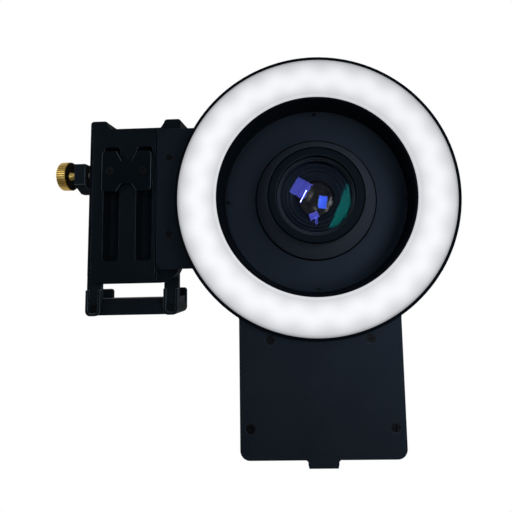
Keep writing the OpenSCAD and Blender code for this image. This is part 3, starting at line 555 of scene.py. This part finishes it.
def bright_plastic(name, colour, grain=0.8, rough=(0.3, 0.45)):
    """Plain coloured plastic with a fine skin."""
    f = Finish(name)
    fine = f.grain(grain, 3)
    f.join(f.ramp(fine, [(0.2, shade(colour, 0.9)), (0.8, colour)]), "Base Color")
    f.join(f.ramp(fine, [(0.2, rough[0]), (0.8, rough[1])]), "Roughness")
    f.bump(fine, 0.2, 0.02)
    return f.material


def printed_board(name, mask, track):
    """Solder mask over faint copper tracks."""
    f = Finish(name)
    tracks = f.nodes.new("ShaderNodeTexBrick")
    tracks.inputs["Scale"].default_value = 90.0
    tracks.inputs["Mortar Size"].default_value = 0.03
    tracks.inputs["Color1"].default_value = (*mask, 1)
    tracks.inputs["Color2"].default_value = (*shade(mask, 0.8), 1)
    tracks.inputs["Mortar"].default_value = (*track, 1)
    f.links.new(f.stretched((1, 1, 1), (math.pi / 2, 0, 0)), tracks.inputs["Vector"])
    fine = f.grain(0.7, 2)
    dull = f.ramp(fine, [(0.2, grey(0.85)), (0.8, WHITE)])
    f.join(f.mixed(tracks.outputs["Color"], dull, 1.0, "MULTIPLY"), "Base Color")
    f.join(f.ramp(fine, [(0.2, 0.3), (0.8, 0.45)]), "Roughness")
    f.bump(tracks.outputs["Fac"], 0.2, 0.03)
    return f.material


def crimped_foil(name, colour):
    """Metal foil with soft folds."""
    f = Finish(name)
    folds = f.grain(7, 5)
    f.join(f.ramp(folds, [(0.25, shade(colour, 0.75)), (0.75, colour)]), "Base Color")
    f.join(f.ramp(folds, [(0.3, 0.3), (0.7, 0.5)]), "Roughness")
    f.bump(folds, 0.3, 0.2)
    f.set(Metallic=0.9)
    return f.material


SATIN, SLICK, MATT, DULL = (0.42, 0.5), (0.40, 0.5), (0.68, 0.8), (0.6, 0.7)

shell_black = moulded_black("ring_and_shell_black", (0.0026, 0.0038, 0.0053), gloss=0.12)
# Painted highlights: lighter tones on the rounded edges of the back shell and the ring tub
shell_painted_highlight = moulded_black("ring_and_shell_painted_highlight", (0.0600, 0.0730, 0.0800), rough=SATIN, gloss=0.5)
tub_painted_highlight = moulded_black("ring_tub_painted_highlight", (0.0060, 0.0078, 0.0098), rough=SATIN, gloss=0.25)
# Painted shade on the rims beside the diffuser; painted light on the recess wall, a lighter and duller tone
# than the ring
rim_painted_shade = moulded_black("ring_rim_painted_shade", (0.0012, 0.0018, 0.0026), rough=DULL, gloss=0.03)
wall_painted_light = moulded_black("recess_wall_painted_light", (0.0070, 0.0092, 0.0130), rough=DULL, gloss=0.06)
cover_black = moulded_black("cover_black", (0.0052, 0.0067, 0.0092), grain=0.35, gloss=0.13)
cover_edge = moulded_black("cover_edge", (0.0040, 0.0052, 0.0070), grain=0.35, rough=SATIN, gloss=0.45)
clamp_black = moulded_black("clamp_black", (0.0031, 0.0048, 0.0065), rough=MATT, gloss=0.03)
carriage_black = moulded_black("carriage_black", (0.0046, 0.0071, 0.0094), rough=MATT, gloss=0.03)
slider_black = moulded_black("slider_black", (0.0021, 0.0035, 0.0046), rough=MATT, gloss=0.02)
# Painted highlights: lighter tones on the clamp's and slider's rounded edges
clamp_painted_highlight = moulded_black("clamp_painted_highlight", (0.0800, 0.0960, 0.1040), rough=SLICK, gloss=0.5)
slider_painted_highlight = moulded_black("slider_painted_highlight", (0.0400, 0.0490, 0.0540), rough=SLICK, gloss=0.5)
plate_black = moulded_black("lens_plate_black", (0.0058, 0.0072, 0.0102), grain=0.3, relief=0.012, patch=22,
                            gloss=0.16)
plate_edge = moulded_black("lens_plate_edge", (0.0040, 0.0052, 0.0070), grain=0.3, rough=SATIN)
switch_black = moulded_black("switch_black", (0.03, 0.03, 0.033))
mouth_black = turned_black("lens_mouth_black", (0.0016, 0.0028, 0.0036), gloss=0.05)
barrel_black = turned_black("lens_barrel_black", (0.024, 0.0300, 0.0415), pitch=0.4, rough=(0.55, 0.65))
# Painted shade for the lens's grooves and the foot where it meets the plate
lens_painted_shade = turned_black("lens_rim_painted_shade", (0.0003, 0.0004, 0.0006), gloss=0.02)
# Painted highlight for the lens's rounded edges and lips
lens_painted_highlight = turned_black("lens_painted_highlight", (0.020, 0.024, 0.028), rough=(0.36, 0.46), gloss=0.5)
baffle_black = turned_black("baffle_black", (0.0028, 0.0030, 0.0034), pitch=0.35, rough=(0.5, 0.62))
screw_black = metal("blackened_screw", (0.004, 0.0045, 0.005), (0.012, 0.013, 0.015), rough=(0.45, 0.6))
screw_steel = metal("plain_steel_screw", (0.30, 0.31, 0.32), (0.52, 0.53, 0.55))
port_steel = metal("folded_steel", (0.34, 0.35, 0.37), (0.58, 0.59, 0.61), drawn=(1, 1, 6))
brass = metal("turned_brass", (0.64, 0.44, 0.11), (0.94, 0.70, 0.23), rough=(0.38, 0.52), drawn=(5, 1, 1),
              grain=0.4)
# Painted shade in the knurl's grooves
groove_painted_shade = metal("knurl_groove_painted_shade", (0.15, 0.10, 0.028), (0.25, 0.165, 0.05), rough=(0.4, 0.55))
# Painted shade for the knob's inner face, the shank's end and the bush beside the lug
brass_painted_shade = moulded_black("knob_painted_shade", (0.0060, 0.0042, 0.0020), rough=DULL, gloss=0.02)
pad_rubber = soft_rubber("grip_rubber", (0.0036, 0.0041, 0.0048))
diffuser_white = lit_ring("lit_diffuser")
front_coat = coated_glass("front_coating", (0.80, 0.84, 0.88), (0.13, 0.15, 1.0), (0.0, 0.085, 0.085))
inner_coat = plain_glass("inner_coating", (0.80, 0.84, 0.88), (0.0, 0.0, 0.0))
# The rear glass's dark body is painted shade of the device that sits behind the lens; its reflection tint is
# the coating
rear_coat_and_shade = plain_glass("rear_coating_and_painted_shade", (0.004, 0.0045, 0.005), (0.14, 0.13, 0.14))
tray_white = bright_plastic("tray_white", (0.88, 0.88, 0.86))
lamp_cream = bright_plastic("lamp_cream", (0.94, 0.86, 0.58), grain=0.3)
lead_red = bright_plastic("lead_red", (0.52, 0.04, 0.03), grain=0.5, rough=(0.35, 0.5))
lead_dark = bright_plastic("lead_dark", (0.03, 0.03, 0.034), grain=0.5, rough=(0.35, 0.5))
nylon = bright_plastic("smoked_nylon", (0.050, 0.047, 0.040), grain=0.6, rough=(0.4, 0.55))
board_white = printed_board("lamp_board_white", (0.82, 0.83, 0.79), (0.66, 0.66, 0.60))
board_green = printed_board("driver_board_green", (0.03, 0.20, 0.08), (0.08, 0.34, 0.15))
cell_foil = crimped_foil("cell_foil", (0.66, 0.68, 0.71))


# Light ring and lens, turned about the optical axis; radii and depths in mm

FACE_Y, TRAY_Y, LIP_Y = -1.0, 1.2, -0.43
CROWN_RISE, CROWN_STEPS = 0.12, 12
INNER_EDGE, OUTER_EDGE = 0.55, 1.4
DIFFUSER_STEPS = 256


def make_diffuser():
    """Milky ring with a slight crown and a lip that rounds over the tub's rim."""
    crown_y = FACE_Y + CROWN_RISE
    width = LIP_OUT - DIFFUSER_IN - INNER_EDGE - OUTER_EDGE
    crown = []
    for i in range(CROWN_STEPS + 1):
        t = i / CROWN_STEPS
        rise = CROWN_RISE * (1 - (2 * t - 1) ** 2)
        crown.append((DIFFUSER_IN + INNER_EDGE + width * t, crown_y - rise))
    lip = [(LIP_OUT - OUTER_EDGE * (1 - math.sin(a)), LIP_Y - (LIP_Y - crown_y) * math.cos(a))
           for a in (math.radians(d) for d in range(10, 91, 10))]
    outline = [(DIFFUSER_IN, TRAY_Y), (DIFFUSER_IN, FACE_Y + INNER_EDGE)] + crown + lip
    outline += [(DIFFUSER_OUT, LIP_Y), (DIFFUSER_OUT, TRAY_Y)]
    return turned_piece("lit_diffuser_ring", outline, diffuser_white, steps=DIFFUSER_STEPS)


hand_over(make_diffuser(), "diffuser")

FILTER_R, FILTER_L, LENS_R, LIP_R = 16.75, 3.2, 20.95, 15.6
GLASS_R, GLASS_Y, SPACER_Y, WEB_Y, REAR_Y = 17.5, 5.0, 7.0, 11.2, 13.2
THREAD_PITCH, THREAD_DEPTH, THREAD_START, THREAD_RIDGES = 0.5, 0.27, 0.55, 5


def make_front_ring():
    """Mouth of the lens with a stepped face and the ridges of the filter thread."""
    thread = []
    for i in range(THREAD_RIDGES):
        y = THREAD_START + i * THREAD_PITCH
        thread += [Vector((FILTER_R, y)), Vector((FILTER_R + THREAD_DEPTH, y + THREAD_PITCH * 0.5))]
    thread.append(Vector((FILTER_R, THREAD_START + THREAD_RIDGES * THREAD_PITCH)))
    face = [(FILTER_R + 0.28, 0.0, 0.06), (LENS_R - 0.95, 0.0, 0.1), (LENS_R - 0.85, 0.22, 0.08),
            (LENS_R - 0.3, 0.22, 0.12), (LENS_R, 0.6, 0.2)]
    back = [(LENS_R, FILTER_L - 0.25, 0.1), (LENS_R - 0.25, FILTER_L, 0.1), (GLASS_R, FILTER_L),
            (GLASS_R, GLASS_Y), (LIP_R, GLASS_Y)]
    lip = [(LIP_R, FILTER_L + 1.15, 0.05), (LIP_R + 0.22, FILTER_L + 0.92, 0.05),
           (LIP_R + 0.6, FILTER_L + 0.85, 0.1), (LIP_R + 0.6, FILTER_L + 0.22, 0.1),
           (LIP_R + 0.85, FILTER_L, 0.08), (FILTER_R, FILTER_L)]
    piece = turned_piece("lens_mouth_ring", rounded_outline(face + back + lip) + thread[::-1], mouth_black)
    # Painted highlights on the mouth's edge, the glass lip and the outer edge of the face
    finish_zones(piece, lens_painted_highlight,
                 ((-FAR, FILTER_R + 0.42), (-FAR, 0.3)),
                 ((LIP_R + 0.52, LIP_R + 0.95), (-FAR, FILTER_L + 0.3)),
                 ((-FAR, LIP_R + 0.26), (FILTER_L + 0.8, FILTER_L + 1.3)),
                 ((LENS_R - 0.16, FAR), (-FAR, 0.8)))
    # Painted shade in the groove near the outer edge of the face
    finish_zones(piece, lens_painted_shade, ((LENS_R - 0.98, LENS_R - 0.16), (-FAR, 0.7)))
    return piece


hand_over(make_front_ring(), "lens_front_ring")

SEAT_R, COLLAR_R, SKIRT_R, FOOT_R = 17.55, 19.4, 26.75, 27.4
TAIL_R, BORE_R, APERTURE_R = 17.0, 12.45, 7.7
PLATE_Y, TAIL_Y, TAIL_EDGE = 16.4, 20.8, 0.5


def make_barrel():
    """Collar, flared skirt, foot and tail of the lens."""
    collar = [(SEAT_R, FILTER_L), (20.25, FILTER_L), (COLLAR_R, 3.5, 0.1), (COLLAR_R, 5.5, 0.2)]
    skirt = [(20.9, 5.75, 0.2), (SKIRT_R, 14.75, 0.9), (FOOT_R, 15.5, 0.3), (FOOT_R, PLATE_Y)]
    tail = [(TAIL_R, PLATE_Y), (TAIL_R, TAIL_Y - TAIL_EDGE), (TAIL_R - TAIL_EDGE, TAIL_Y, 0.1),
            (BORE_R + TAIL_EDGE, TAIL_Y, 0.1), (BORE_R, TAIL_Y - TAIL_EDGE)]
    web = [(BORE_R, REAR_Y), (APERTURE_R, REAR_Y), (APERTURE_R, WEB_Y), (SEAT_R, WEB_Y)]
    piece = turned_piece("lens_barrel_body", rounded_outline(collar + skirt + tail + web), barrel_black)
    finish_zones(piece, baffle_black, ((-FAR, SEAT_R + 0.05), (-FAR, PLATE_Y - 0.1)))
    # Painted shade in the collar's groove and on the foot where it meets the plate
    finish_zones(piece, lens_painted_shade, ((SEAT_R + 0.05, LENS_R), (-FAR, 5.85)), ((SKIRT_R, FAR), (-FAR, FAR)))
    return piece


hand_over(make_barrel(), "lens_barrel")

DOME_STEPS, GLASS_EDGE = 48, 0.2


def domed_glass(name, finish, dome_r, rim_r, front_y, back_y, sag):
    """Glass with a domed front, a flat rim round it and a flat back."""
    dome = [(dome_r * t, front_y - sag * (1 - t ** 2)) for t in (i / DOME_STEPS for i in range(DOME_STEPS + 1))]
    rim = [(rim_r - GLASS_EDGE, front_y), (rim_r, front_y + GLASS_EDGE), (rim_r, back_y - GLASS_EDGE),
           (rim_r - GLASS_EDGE, back_y), (0, back_y)]
    return turned_piece(name, dome + rim, finish, closed=False)


def make_front_glass():
    """Domed glass with the coloured coating in front and the clear one behind."""
    piece = domed_glass("front_lens_glass", front_coat, 15.55, GLASS_R, GLASS_Y, SPACER_Y, sag=1.5)
    finish_zones(piece, inner_coat, ((-FAR, FAR), (SPACER_Y - 0.1, FAR)))
    return piece


hand_over(make_front_glass(), "front_glass")
hand_over(domed_glass("rear_lens_glass", rear_coat_and_shade, 7.4, 12.4, REAR_Y, 16.2, sag=1.2), "rear_glass")

BAFFLE_R, BAFFLE_STEP, BAFFLE_L, BAFFLE_RINGS = 15.5, 1.75, 1.05, 4


def make_baffle():
    """Stepped tube behind the front glass, each step with a rounded lip."""
    radii = [BAFFLE_R - i * BAFFLE_STEP for i in range(BAFFLE_RINGS)]
    depths = [SPACER_Y + i * BAFFLE_L for i in range(BAFFLE_RINGS)]
    outline = [(GLASS_R, SPACER_Y), (BAFFLE_R, SPACER_Y, 0.08)]
    for i, radius in enumerate(radii):
        outline.append((radius, SPACER_Y + (i + 0.96) * BAFFLE_L, 0.1))
        if i + 1 < BAFFLE_RINGS:
            outline.append((radii[i + 1], depths[i + 1], 0.14))
    outline += [(radii[-1], WEB_Y), (GLASS_R, WEB_Y)]
    piece = turned_piece("stepped_baffle", rounded_outline(outline), baffle_black)
    # Painted highlights on the lips of the inner steps
    lips = [((r - 0.08, r + 0.24), (y - 0.12, y + 0.12)) for r, y in zip(radii[1:], depths[1:])]
    finish_zones(piece, lens_painted_highlight, *lips)
    return piece


hand_over(make_baffle(), "lens_spacer")

GASKET_IN, GASKET_OUT, GASKET_BACK, GASKET_FACE = 27.0, 33.0, 21.2, 22.0
GROOVES_AT, GROOVE_HALF, GROOVE_DEPTH = (29.0, 31.0), 0.35, 0.3


def make_gasket():
    """Soft ring with two shallow grooves in its face."""
    outline = [(GASKET_IN, GASKET_BACK), (GASKET_IN, GASKET_FACE, 0.25)]
    for r in GROOVES_AT:
        outline += [(r - GROOVE_HALF, GASKET_FACE, 0.1), (r, GASKET_FACE - GROOVE_DEPTH, 0.1),
                    (r + GROOVE_HALF, GASKET_FACE, 0.1)]
    outline += [(GASKET_OUT, GASKET_FACE, 0.25), (GASKET_OUT, GASKET_BACK)]
    return turned_piece("rear_gasket_ring", rounded_outline(outline), pad_rubber)


hand_over(make_gasket(), "rear_gasket")


# Mouldings and screws that keep the solid's shape and get rounded edges

CLAW_DEPTH, CLAW_ROUNDING = 5.0, 1.5


def round_claws():
    """Rounds the top corners of the two claws more than the other edges."""
    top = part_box("clamp_frame")[1].z

    def corner(edge):
        a, b = (v.co for v in edge.verts)
        return all(abs(p.z - top) < NEAR_TOUCH for p in (a, b)) and abs(a.y - b.y) > CLAW_DEPTH * MM

    choose("edges", corner)
    bpy.ops.mesh.bevel(offset=CLAW_ROUNDING * MM, segments=4, affect="EDGES")


def shade_tub(piece):
    """Lightens the recess wall as painted light, and darkens the rim on both sides of the diffuser as painted
    shade.
    """
    wall_planes, rim_planes = (-0.2, 17.0), (-0.6, 0.1)
    finish_ring(piece, wall_painted_light, (41.2, 41.4), wall_planes)
    for radii in ((41.2, 42.4), (58.3, 60.1)):
        finish_ring(piece, rim_painted_shade, radii, rim_planes)


def drop_slider_highlights(piece):
    drop_level_highlights(piece)
    drop_hole_highlights(piece, "slider_screws", reach=0.9)


SHAPING = {"clamp_frame": round_claws}
FINISHING = {"clamp_frame": drop_level_highlights, "slider_plate": drop_slider_highlights, "front_ring": shade_tub}
# Piece, node, width and segments of its rounded edges in mm, finish, finish of the edges (on several pieces a
# lighter one that paints a highlight), material slot
COPIES = [
    ("ring_tub", "front_ring", 0.35, 3, shell_black, tub_painted_highlight, "shell_black"),
    ("back_shell", "rear_shell", 0.45, 3, shell_black, shell_painted_highlight, "shell_black"),
    ("lens_disc", "lens_plate", 0.12, 2, plate_black, plate_edge, "plate_black"),
    ("disc_screws", "plate_screws", 0.08, 1, screw_black, screw_black, "screw_black"),
    ("lens_nut", "lens_lock_ring", 0.25, 2, mouth_black, lens_painted_highlight, "lens_black"),
    ("glass_retainer", "rear_retainer", 0.2, 2, baffle_black, lens_painted_highlight, "inner_black"),
    ("cover_lid", "box_cover", 0.55, 3, cover_black, cover_edge, "cover_black"),
    ("lid_screws", "cover_screws", 0.14, 2, screw_black, screw_black, "screw_black"),
    ("switch_key", "power_key", 0.3, 3, cover_black, cover_edge, "cover_black"),
    ("slotted_frame", "clamp_frame", 0.45, 3, clamp_black, clamp_painted_highlight, "clamp_black"),
    ("arm_screws", "frame_screws", 0.14, 2, screw_black, screw_black, "screw_black"),
    ("sliding_carriage", "jaw_carriage", 0.4, 3, carriage_black, clamp_painted_highlight, "clamp_black"),
    ("slider_face", "slider_plate", 0.4, 3, slider_black, slider_painted_highlight, "clamp_black"),
    ("slider_face_screws", "slider_screws", 0.14, 2, screw_black, screw_black, "screw_black"),
    ("lower_bar", "jaw_bar", 0.5, 3, carriage_black, clamp_painted_highlight, "clamp_black"),
    ("bar_screws", "jaw_screws", 0.14, 2, screw_black, screw_black, "screw_black"),
    ("back_screws", "shell_screws", 0.14, 2, screw_steel, screw_steel, "screw_steel"),
    # The bush's dark finish is painted shade beside the lug
    ("lug_sleeve", "lug_bush", 0.15, 2, brass_painted_shade, brass_painted_shade, "brass"),
    ("screw_tip", "lock_tip", 0.12, 2, nylon, nylon, "nylon"),
    ("charging_socket", "charging_port", 0.12, 2, port_steel, port_steel, "port_steel"),
]
for name, node, width, segments, finish, edge_finish, slot in COPIES:
    piece = moulded_copy(name, node, width, segments, finish, edge_finish, SHAPING.get(node))
    if node in FINISHING:
        FINISHING[node](piece)
    hand_over(piece, node)


# Grip pads with ribs

PAD_ROUNDING = 0.12
UPPER_PAD_WIDTH = 7.0 * MM


def ribbed_pad(name, low, high, face, run, ribs, depth, corner=0.0):
    """Block cut into strips along one way, every other strip sunk into one face, with rounded edges."""
    put_down()
    bpy.ops.mesh.primitive_cube_add(size=1, location=(low + high) / 2, scale=high - low)
    piece = name_piece(name)
    place_in_mesh(piece)
    paint(piece, pad_rubber)
    open_mesh(piece)
    rise, step = "xyz".index(face[1]), "xyz".index(run)
    sign = 1 if face[0] == "+" else -1
    face_at = high[rise] if sign > 0 else low[rise]
    span = high[step] - low[step]
    strips = 2 * ribs + 1
    if corner:
        choose("edges", lambda e: abs((e.verts[1].co - e.verts[0].co).normalized()[rise]) > 0.99)
        bpy.ops.mesh.bevel(offset=corner * MM, segments=5, affect="EDGES")
    for i in range(1, strips):
        bpy.ops.mesh.select_mode(type="FACE")
        choose_all()
        bpy.ops.mesh.bisect(plane_co=along(run, low[step] + span * i / strips), plane_no=along(run, 1))

    def sunk(side):
        centre = side.calc_center_median()
        strip = int((centre[step] - low[step]) / span * strips)
        return abs(centre[rise] - face_at) < TOUCH and strip % 2 == 1

    choose("faces", sunk)
    bpy.ops.transform.translate(value=along(face[1], -sign * depth * MM))
    close_mesh()
    round_edges(piece, PAD_ROUNDING)
    smooth(piece)
    even_normals(piece)
    return piece


def twin_of(piece, name, shift):
    """Copy with its own mesh, moved along."""
    twin = fresh_copy(name, piece)
    open_mesh(twin)
    choose_all()
    bpy.ops.transform.translate(value=shift)
    close_mesh()
    return twin


lower_pad = ribbed_pad("lower_grip_pad", *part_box("lower_pad"), "+z", "x", ribs=14, depth=0.5)
hand_over(lower_pad, "lower_pad")
back_pad = ribbed_pad("back_grip_pad", *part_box("back_pad"), "+y", "z", ribs=17, depth=0.3, corner=2.0)
hand_over(back_pad, "back_pad")
pads_low, pads_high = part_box("upper_pads")
pads_shift = along("x", pads_high.x - pads_low.x - UPPER_PAD_WIDTH)
left_pad = ribbed_pad("upper_grip_pad_left", pads_low, pads_high - pads_shift, "-z", "x", ribs=3, depth=0.4)
right_pad = twin_of(left_pad, "upper_grip_pad_right", pads_shift)
for pad in (left_pad, right_pad):
    hand_over(pad, "upper_pads")


# Lock screw; x, y, z and radii in mm

KNOB_OUT, KNOB_IN, SHANK_END = -116.5, -111.8, -104.05
LOCK_Y, LOCK_Z = 15.0, 13.9
KNOB_R, BOSS_R, NECK_R, SHANK_R = 6.5, 1.9, 1.25, 2.0
TEETH, KNURL_DEPTH = 40, 0.35
OUT_BEVEL, IN_BEVEL = 0.9, 0.5
FACE_RIM, FACE_SLOPE, FACE_SINK = 1.1, 0.35, 0.3
DISH_RIM, DISH_SLOPE, DISH_SINK = 0.7, 0.3, 0.9
SHANK_STEPS, BOSS_STEPS, PLAIN_STEPS = 26, 6, 10
THREAD_ROOT = 0.88
SOCKET_WALL, SOCKET_DEPTH = 1.0, 1.8
BRASS, PAINTED_SHADE, GROOVE = 0, 1, 2


def make_lock_screw():
    """Knob with a straight knurl and a dished inner face, on a threaded shank; the inner face and the shank's
    end are painted dark as shade.
    """
    axis_at = Vector((0, LOCK_Y, LOCK_Z)) * MM
    put_down()
    bpy.ops.mesh.primitive_cylinder_add(vertices=2 * TEETH, radius=KNOB_R * MM, depth=(KNOB_IN - KNOB_OUT) * MM,
                                        location=axis_at + along("x", (KNOB_OUT + KNOB_IN) / 2 * MM),
                                        rotation=(0, math.pi / 2, 0))
    piece = name_piece("knurled_lock_screw")
    place_in_mesh(piece)
    paint(piece, brass, brass_painted_shade, groove_painted_shade)
    open_mesh(piece)

    def move_out(amount):
        bpy.ops.mesh.extrude_region_move(TRANSFORM_OT_translate={"value": along("x", amount * MM)})

    def scale_round(factor):
        bpy.ops.transform.resize(value=(1, factor, factor), center_override=axis_at)

    def step_in(thickness, sink=0.0):
        bpy.ops.mesh.inset(thickness=thickness * MM, depth=-sink * MM)

    for at, width, segments in ((KNOB_OUT, OUT_BEVEL, 3), (KNOB_IN, IN_BEVEL, 2)):
        choose("edges", lambda e: all(abs(v.co.x - at * MM) < TOUCH for v in e.verts))
        bpy.ops.mesh.bevel(offset=width * MM, segments=segments, affect="EDGES")

    def groove(face):
        out = face.calc_center_median() - axis_at
        tooth = math.floor(math.atan2(out.z, out.y) / (math.pi / TEETH))
        return abs(face.normal.x) < 0.8 and tooth % 2 == 0

    # Painted shade in the knurl's grooves
    choose("faces", groove)
    give_finish(piece, GROOVE)
    move_out(0)
    scale_round(1 - KNURL_DEPTH / KNOB_R)

    choose("faces", lambda face: face.normal.x < -0.95 and len(face.verts) > 8)
    step_in(FACE_RIM)
    step_in(FACE_SLOPE, FACE_SINK)

    # The faces towards the clamp get painted shade
    choose("faces", lambda face: face.normal.x > 0.3)
    give_finish(piece, PAINTED_SHADE)
    choose("faces", lambda face: face.normal.x > 0.95 and len(face.verts) > 8)
    step_in(DISH_RIM)
    step_in(DISH_SLOPE, DISH_SINK)
    step_in(KNOB_R - IN_BEVEL - DISH_RIM - DISH_SLOPE - BOSS_R)

    for i in range(SHANK_STEPS):
        move_out((SHANK_END - KNOB_IN + DISH_SINK) / SHANK_STEPS)
        if i < BOSS_STEPS:
            scale_round((NECK_R / BOSS_R) ** (1 / BOSS_STEPS))
        elif i == BOSS_STEPS:
            scale_round(SHANK_R / NECK_R)
        elif PLAIN_STEPS < i < SHANK_STEPS - 2:
            scale_round(THREAD_ROOT if i % 2 else 1 / THREAD_ROOT)
    step_in(SOCKET_WALL)
    move_out(-SOCKET_DEPTH)

    def shank(face):
        out = face.calc_center_median() - axis_at
        return math.hypot(out.y, out.z) < (SHANK_R + 0.25) * MM and out.x > (KNOB_IN - DISH_SINK + 0.02) * MM

    def shank_end(face):
        return face.calc_center_median().x > (SHANK_END - 0.75) * MM

    # The shank is brass; its end gets painted shade
    for index, test in ((BRASS, shank), (PAINTED_SHADE, shank_end)):
        choose("faces", test)
        give_finish(piece, index)
    close_mesh()
    smooth(piece)
    return piece


hand_over(make_lock_screw(), "lock_screw")


# Floor, light and camera

FLOOR_Z, FLOOR_FRONT, FLOOR_BACK, FLOOR_HALF = -0.30, -0.35, 9.0, 6.0
FLOOR_GLOW = 0.92
SKY_LEVEL, SKY_DIM = 0.18, 0.025
LAMP_POWER = 4.0
LENS_FRONT = (0, 0.004, 0)


def make_floor():
    """Pale floor that starts in front of the object and runs far back."""
    put_down()
    bpy.ops.mesh.primitive_plane_add(size=1, location=(0, (FLOOR_FRONT + FLOOR_BACK) / 2, FLOOR_Z),
                                     scale=(2 * FLOOR_HALF, FLOOR_BACK - FLOOR_FRONT, 1))
    floor = name_piece("studio_floor")
    place_in_mesh(floor)
    f = Finish("pale_floor")
    f.join(f.ramp(f.grain(40, 2), [(0.3, grey(0.80)), (0.7, grey(0.82))]), "Base Color")
    path = f.nodes.new("ShaderNodeLightPath")
    seen = f.sums("MAXIMUM", path.outputs["Is Camera Ray"],
                  f.sums("MAXIMUM", path.outputs["Is Glossy Ray"], path.outputs["Is Transmission Ray"]))
    f.join(f.sums("MULTIPLY", seen, FLOOR_GLOW), "Emission Strength")
    f.set(Roughness=0.9, Specular_IOR_Level=0.0, Emission_Color=(*WHITE, 1))
    floor.data.materials.append(f.material)


def make_world():
    """White behind the object, dim behind the camera, and a plain level of light all round."""
    world = bpy.data.worlds.new("white_studio")
    bpy.context.scene.world = world
    world.use_nodes = True
    nodes, links = world.node_tree.nodes, world.node_tree.links
    sky = nodes["Background"]
    path = nodes.new("ShaderNodeLightPath")
    split = nodes.new("ShaderNodeSeparateXYZ")
    links.new(nodes.new("ShaderNodeTexCoord").outputs["Generated"], split.inputs[0])
    behind = nodes.new("ShaderNodeMapRange")
    limits = {"From Min": -0.12, "From Max": 0.35, "To Min": SKY_DIM, "To Max": 1.0}
    for socket, value in limits.items():
        behind.inputs[socket].default_value = value
    links.new(split.outputs["Y"], behind.inputs["Value"])

    def pick(a, b, ray):
        node = nodes.new("ShaderNodeMix")
        for socket, value in ((node.inputs[2], a), (node.inputs[3], b)):
            if isinstance(value, float):
                socket.default_value = value
            else:
                links.new(value, socket)
        links.new(path.outputs[ray], node.inputs[0])
        return node.outputs[0]

    level = pick(SKY_LEVEL, behind.outputs["Result"], "Is Glossy Ray")
    level = pick(level, 1.0, "Is Transmission Ray")
    level = pick(level, 1.0, "Is Camera Ray")
    links.new(level, sky.inputs["Strength"])
    sky.inputs["Color"].default_value = (*WHITE, 1)


def softbox(name, at, size, brightness, turn=0.0, colour=WHITE, aim=LENS_FRONT):
    """Flat lamp that faces a point; brightness is what a mirror would show of it."""
    put_down()
    bpy.ops.object.light_add(type="AREA", location=at)
    lamp = name_piece(name)
    lamp.data.shape = "RECTANGLE"
    lamp.data.size, lamp.data.size_y = size
    lamp.data.energy = LAMP_POWER * size[0] * size[1] * brightness
    lamp.data.color = colour
    to_aim = (Vector(aim) - Vector(at)).to_track_quat("-Z", "Y")
    lamp.rotation_mode = "QUATERNION"
    lamp.rotation_quaternion = to_aim @ Matrix.Rotation(math.radians(turn), 3, "Z").to_quaternion()
    lamp.visible_camera = False


CAMERA_AT = (-0.0030, -0.1906, -0.0287)
CAMERA_YAW, CAMERA_PITCH, CAMERA_ROLL = (math.radians(a) for a in (1.89, -6.33, -1.33))
FOCAL_PX, CENTRE_PX = 459.9, (294.6, 213.2)
SENSOR = 36.0


def make_camera():
    """Camera at the photograph's place, from a fit of the ring, lens, cover and clamp."""
    turn = (Matrix.Rotation(CAMERA_ROLL, 3, "Z") @ Matrix.Rotation(CAMERA_PITCH, 3, "X")
            @ Matrix.Rotation(CAMERA_YAW, 3, "Y"))
    right, down, ahead = (Vector((row[0], row[2], -row[1])) for row in turn)
    put_down()
    bpy.ops.object.camera_add(location=CAMERA_AT)
    camera = bpy.context.object
    camera.name = "photo_camera"
    camera.rotation_mode = "QUATERNION"
    camera.rotation_quaternion = Matrix((right, -down, -ahead)).transposed().to_quaternion()
    camera.data.sensor_width = SENSOR
    camera.data.lens = FOCAL_PX * SENSOR / IMAGE_SIDE
    camera.data.shift_x = (IMAGE_SIDE / 2 - CENTRE_PX[0]) / IMAGE_SIDE
    camera.data.shift_y = (CENTRE_PX[1] - IMAGE_SIDE / 2) / IMAGE_SIDE
    camera.data.clip_start = 0.01
    camera.data.clip_end = 50
    bpy.context.scene.camera = camera


make_floor()
make_world()
softbox("window_box", (-0.107, -0.546, 0.148), (0.128, 0.136), 2.8, turn=-30)
softbox("small_box", (0.050, -0.500, 0.029), (0.055, 0.085), 6.8, turn=-10, colour=(0.35, 0.80, 1.0))
softbox("right_box", (0.160, -0.301, -0.0154), (0.121, 0.286), 6.8, turn=-23)
softbox("low_box", (-0.013, -0.550, -0.066), (0.070, 0.050), 3.3, turn=20)
softbox("low_strip", (0.0036, -0.550, -0.103), (0.020, 0.056), 2.8, turn=8)
softbox("glint_strip", (-0.080, -0.497, 0.078), (0.007, 0.095), 70.0, turn=-29)
softbox("top_box", (0.10, -0.30, 0.75), (0.6, 0.5), 1.0)
softbox("left_card", (-0.1605, -0.0715, 0.032), (0.045, 0.080), 2.2, aim=(-0.114, 0.015, 0.014))
for name, side in (("left_side_box", -1), ("right_side_box", 1)):
    softbox(name, (1.1 * side, 0.15, 0.35), (0.9, 0.9), 2.0)
make_camera()


# Finishes of the pieces that keep the solid as it is

INSIDE = {
    "reflector_tray": tray_white, "lamp_board": board_white, "lamps": lamp_cream, "battery": cell_foil,
    "driver_board": board_green, "board_screws": screw_steel, "key_switch": switch_black,
    "lamp_leads": lead_red, "battery_leads": lead_dark,
}
for node, finish in INSIDE.items():
    for slot in frame["nodes"][node].material_slots:
        slot.material = finish

put_down()
bpy.context.scene.view_settings.view_transform = "Standard"
bpy.context.view_layer.update()
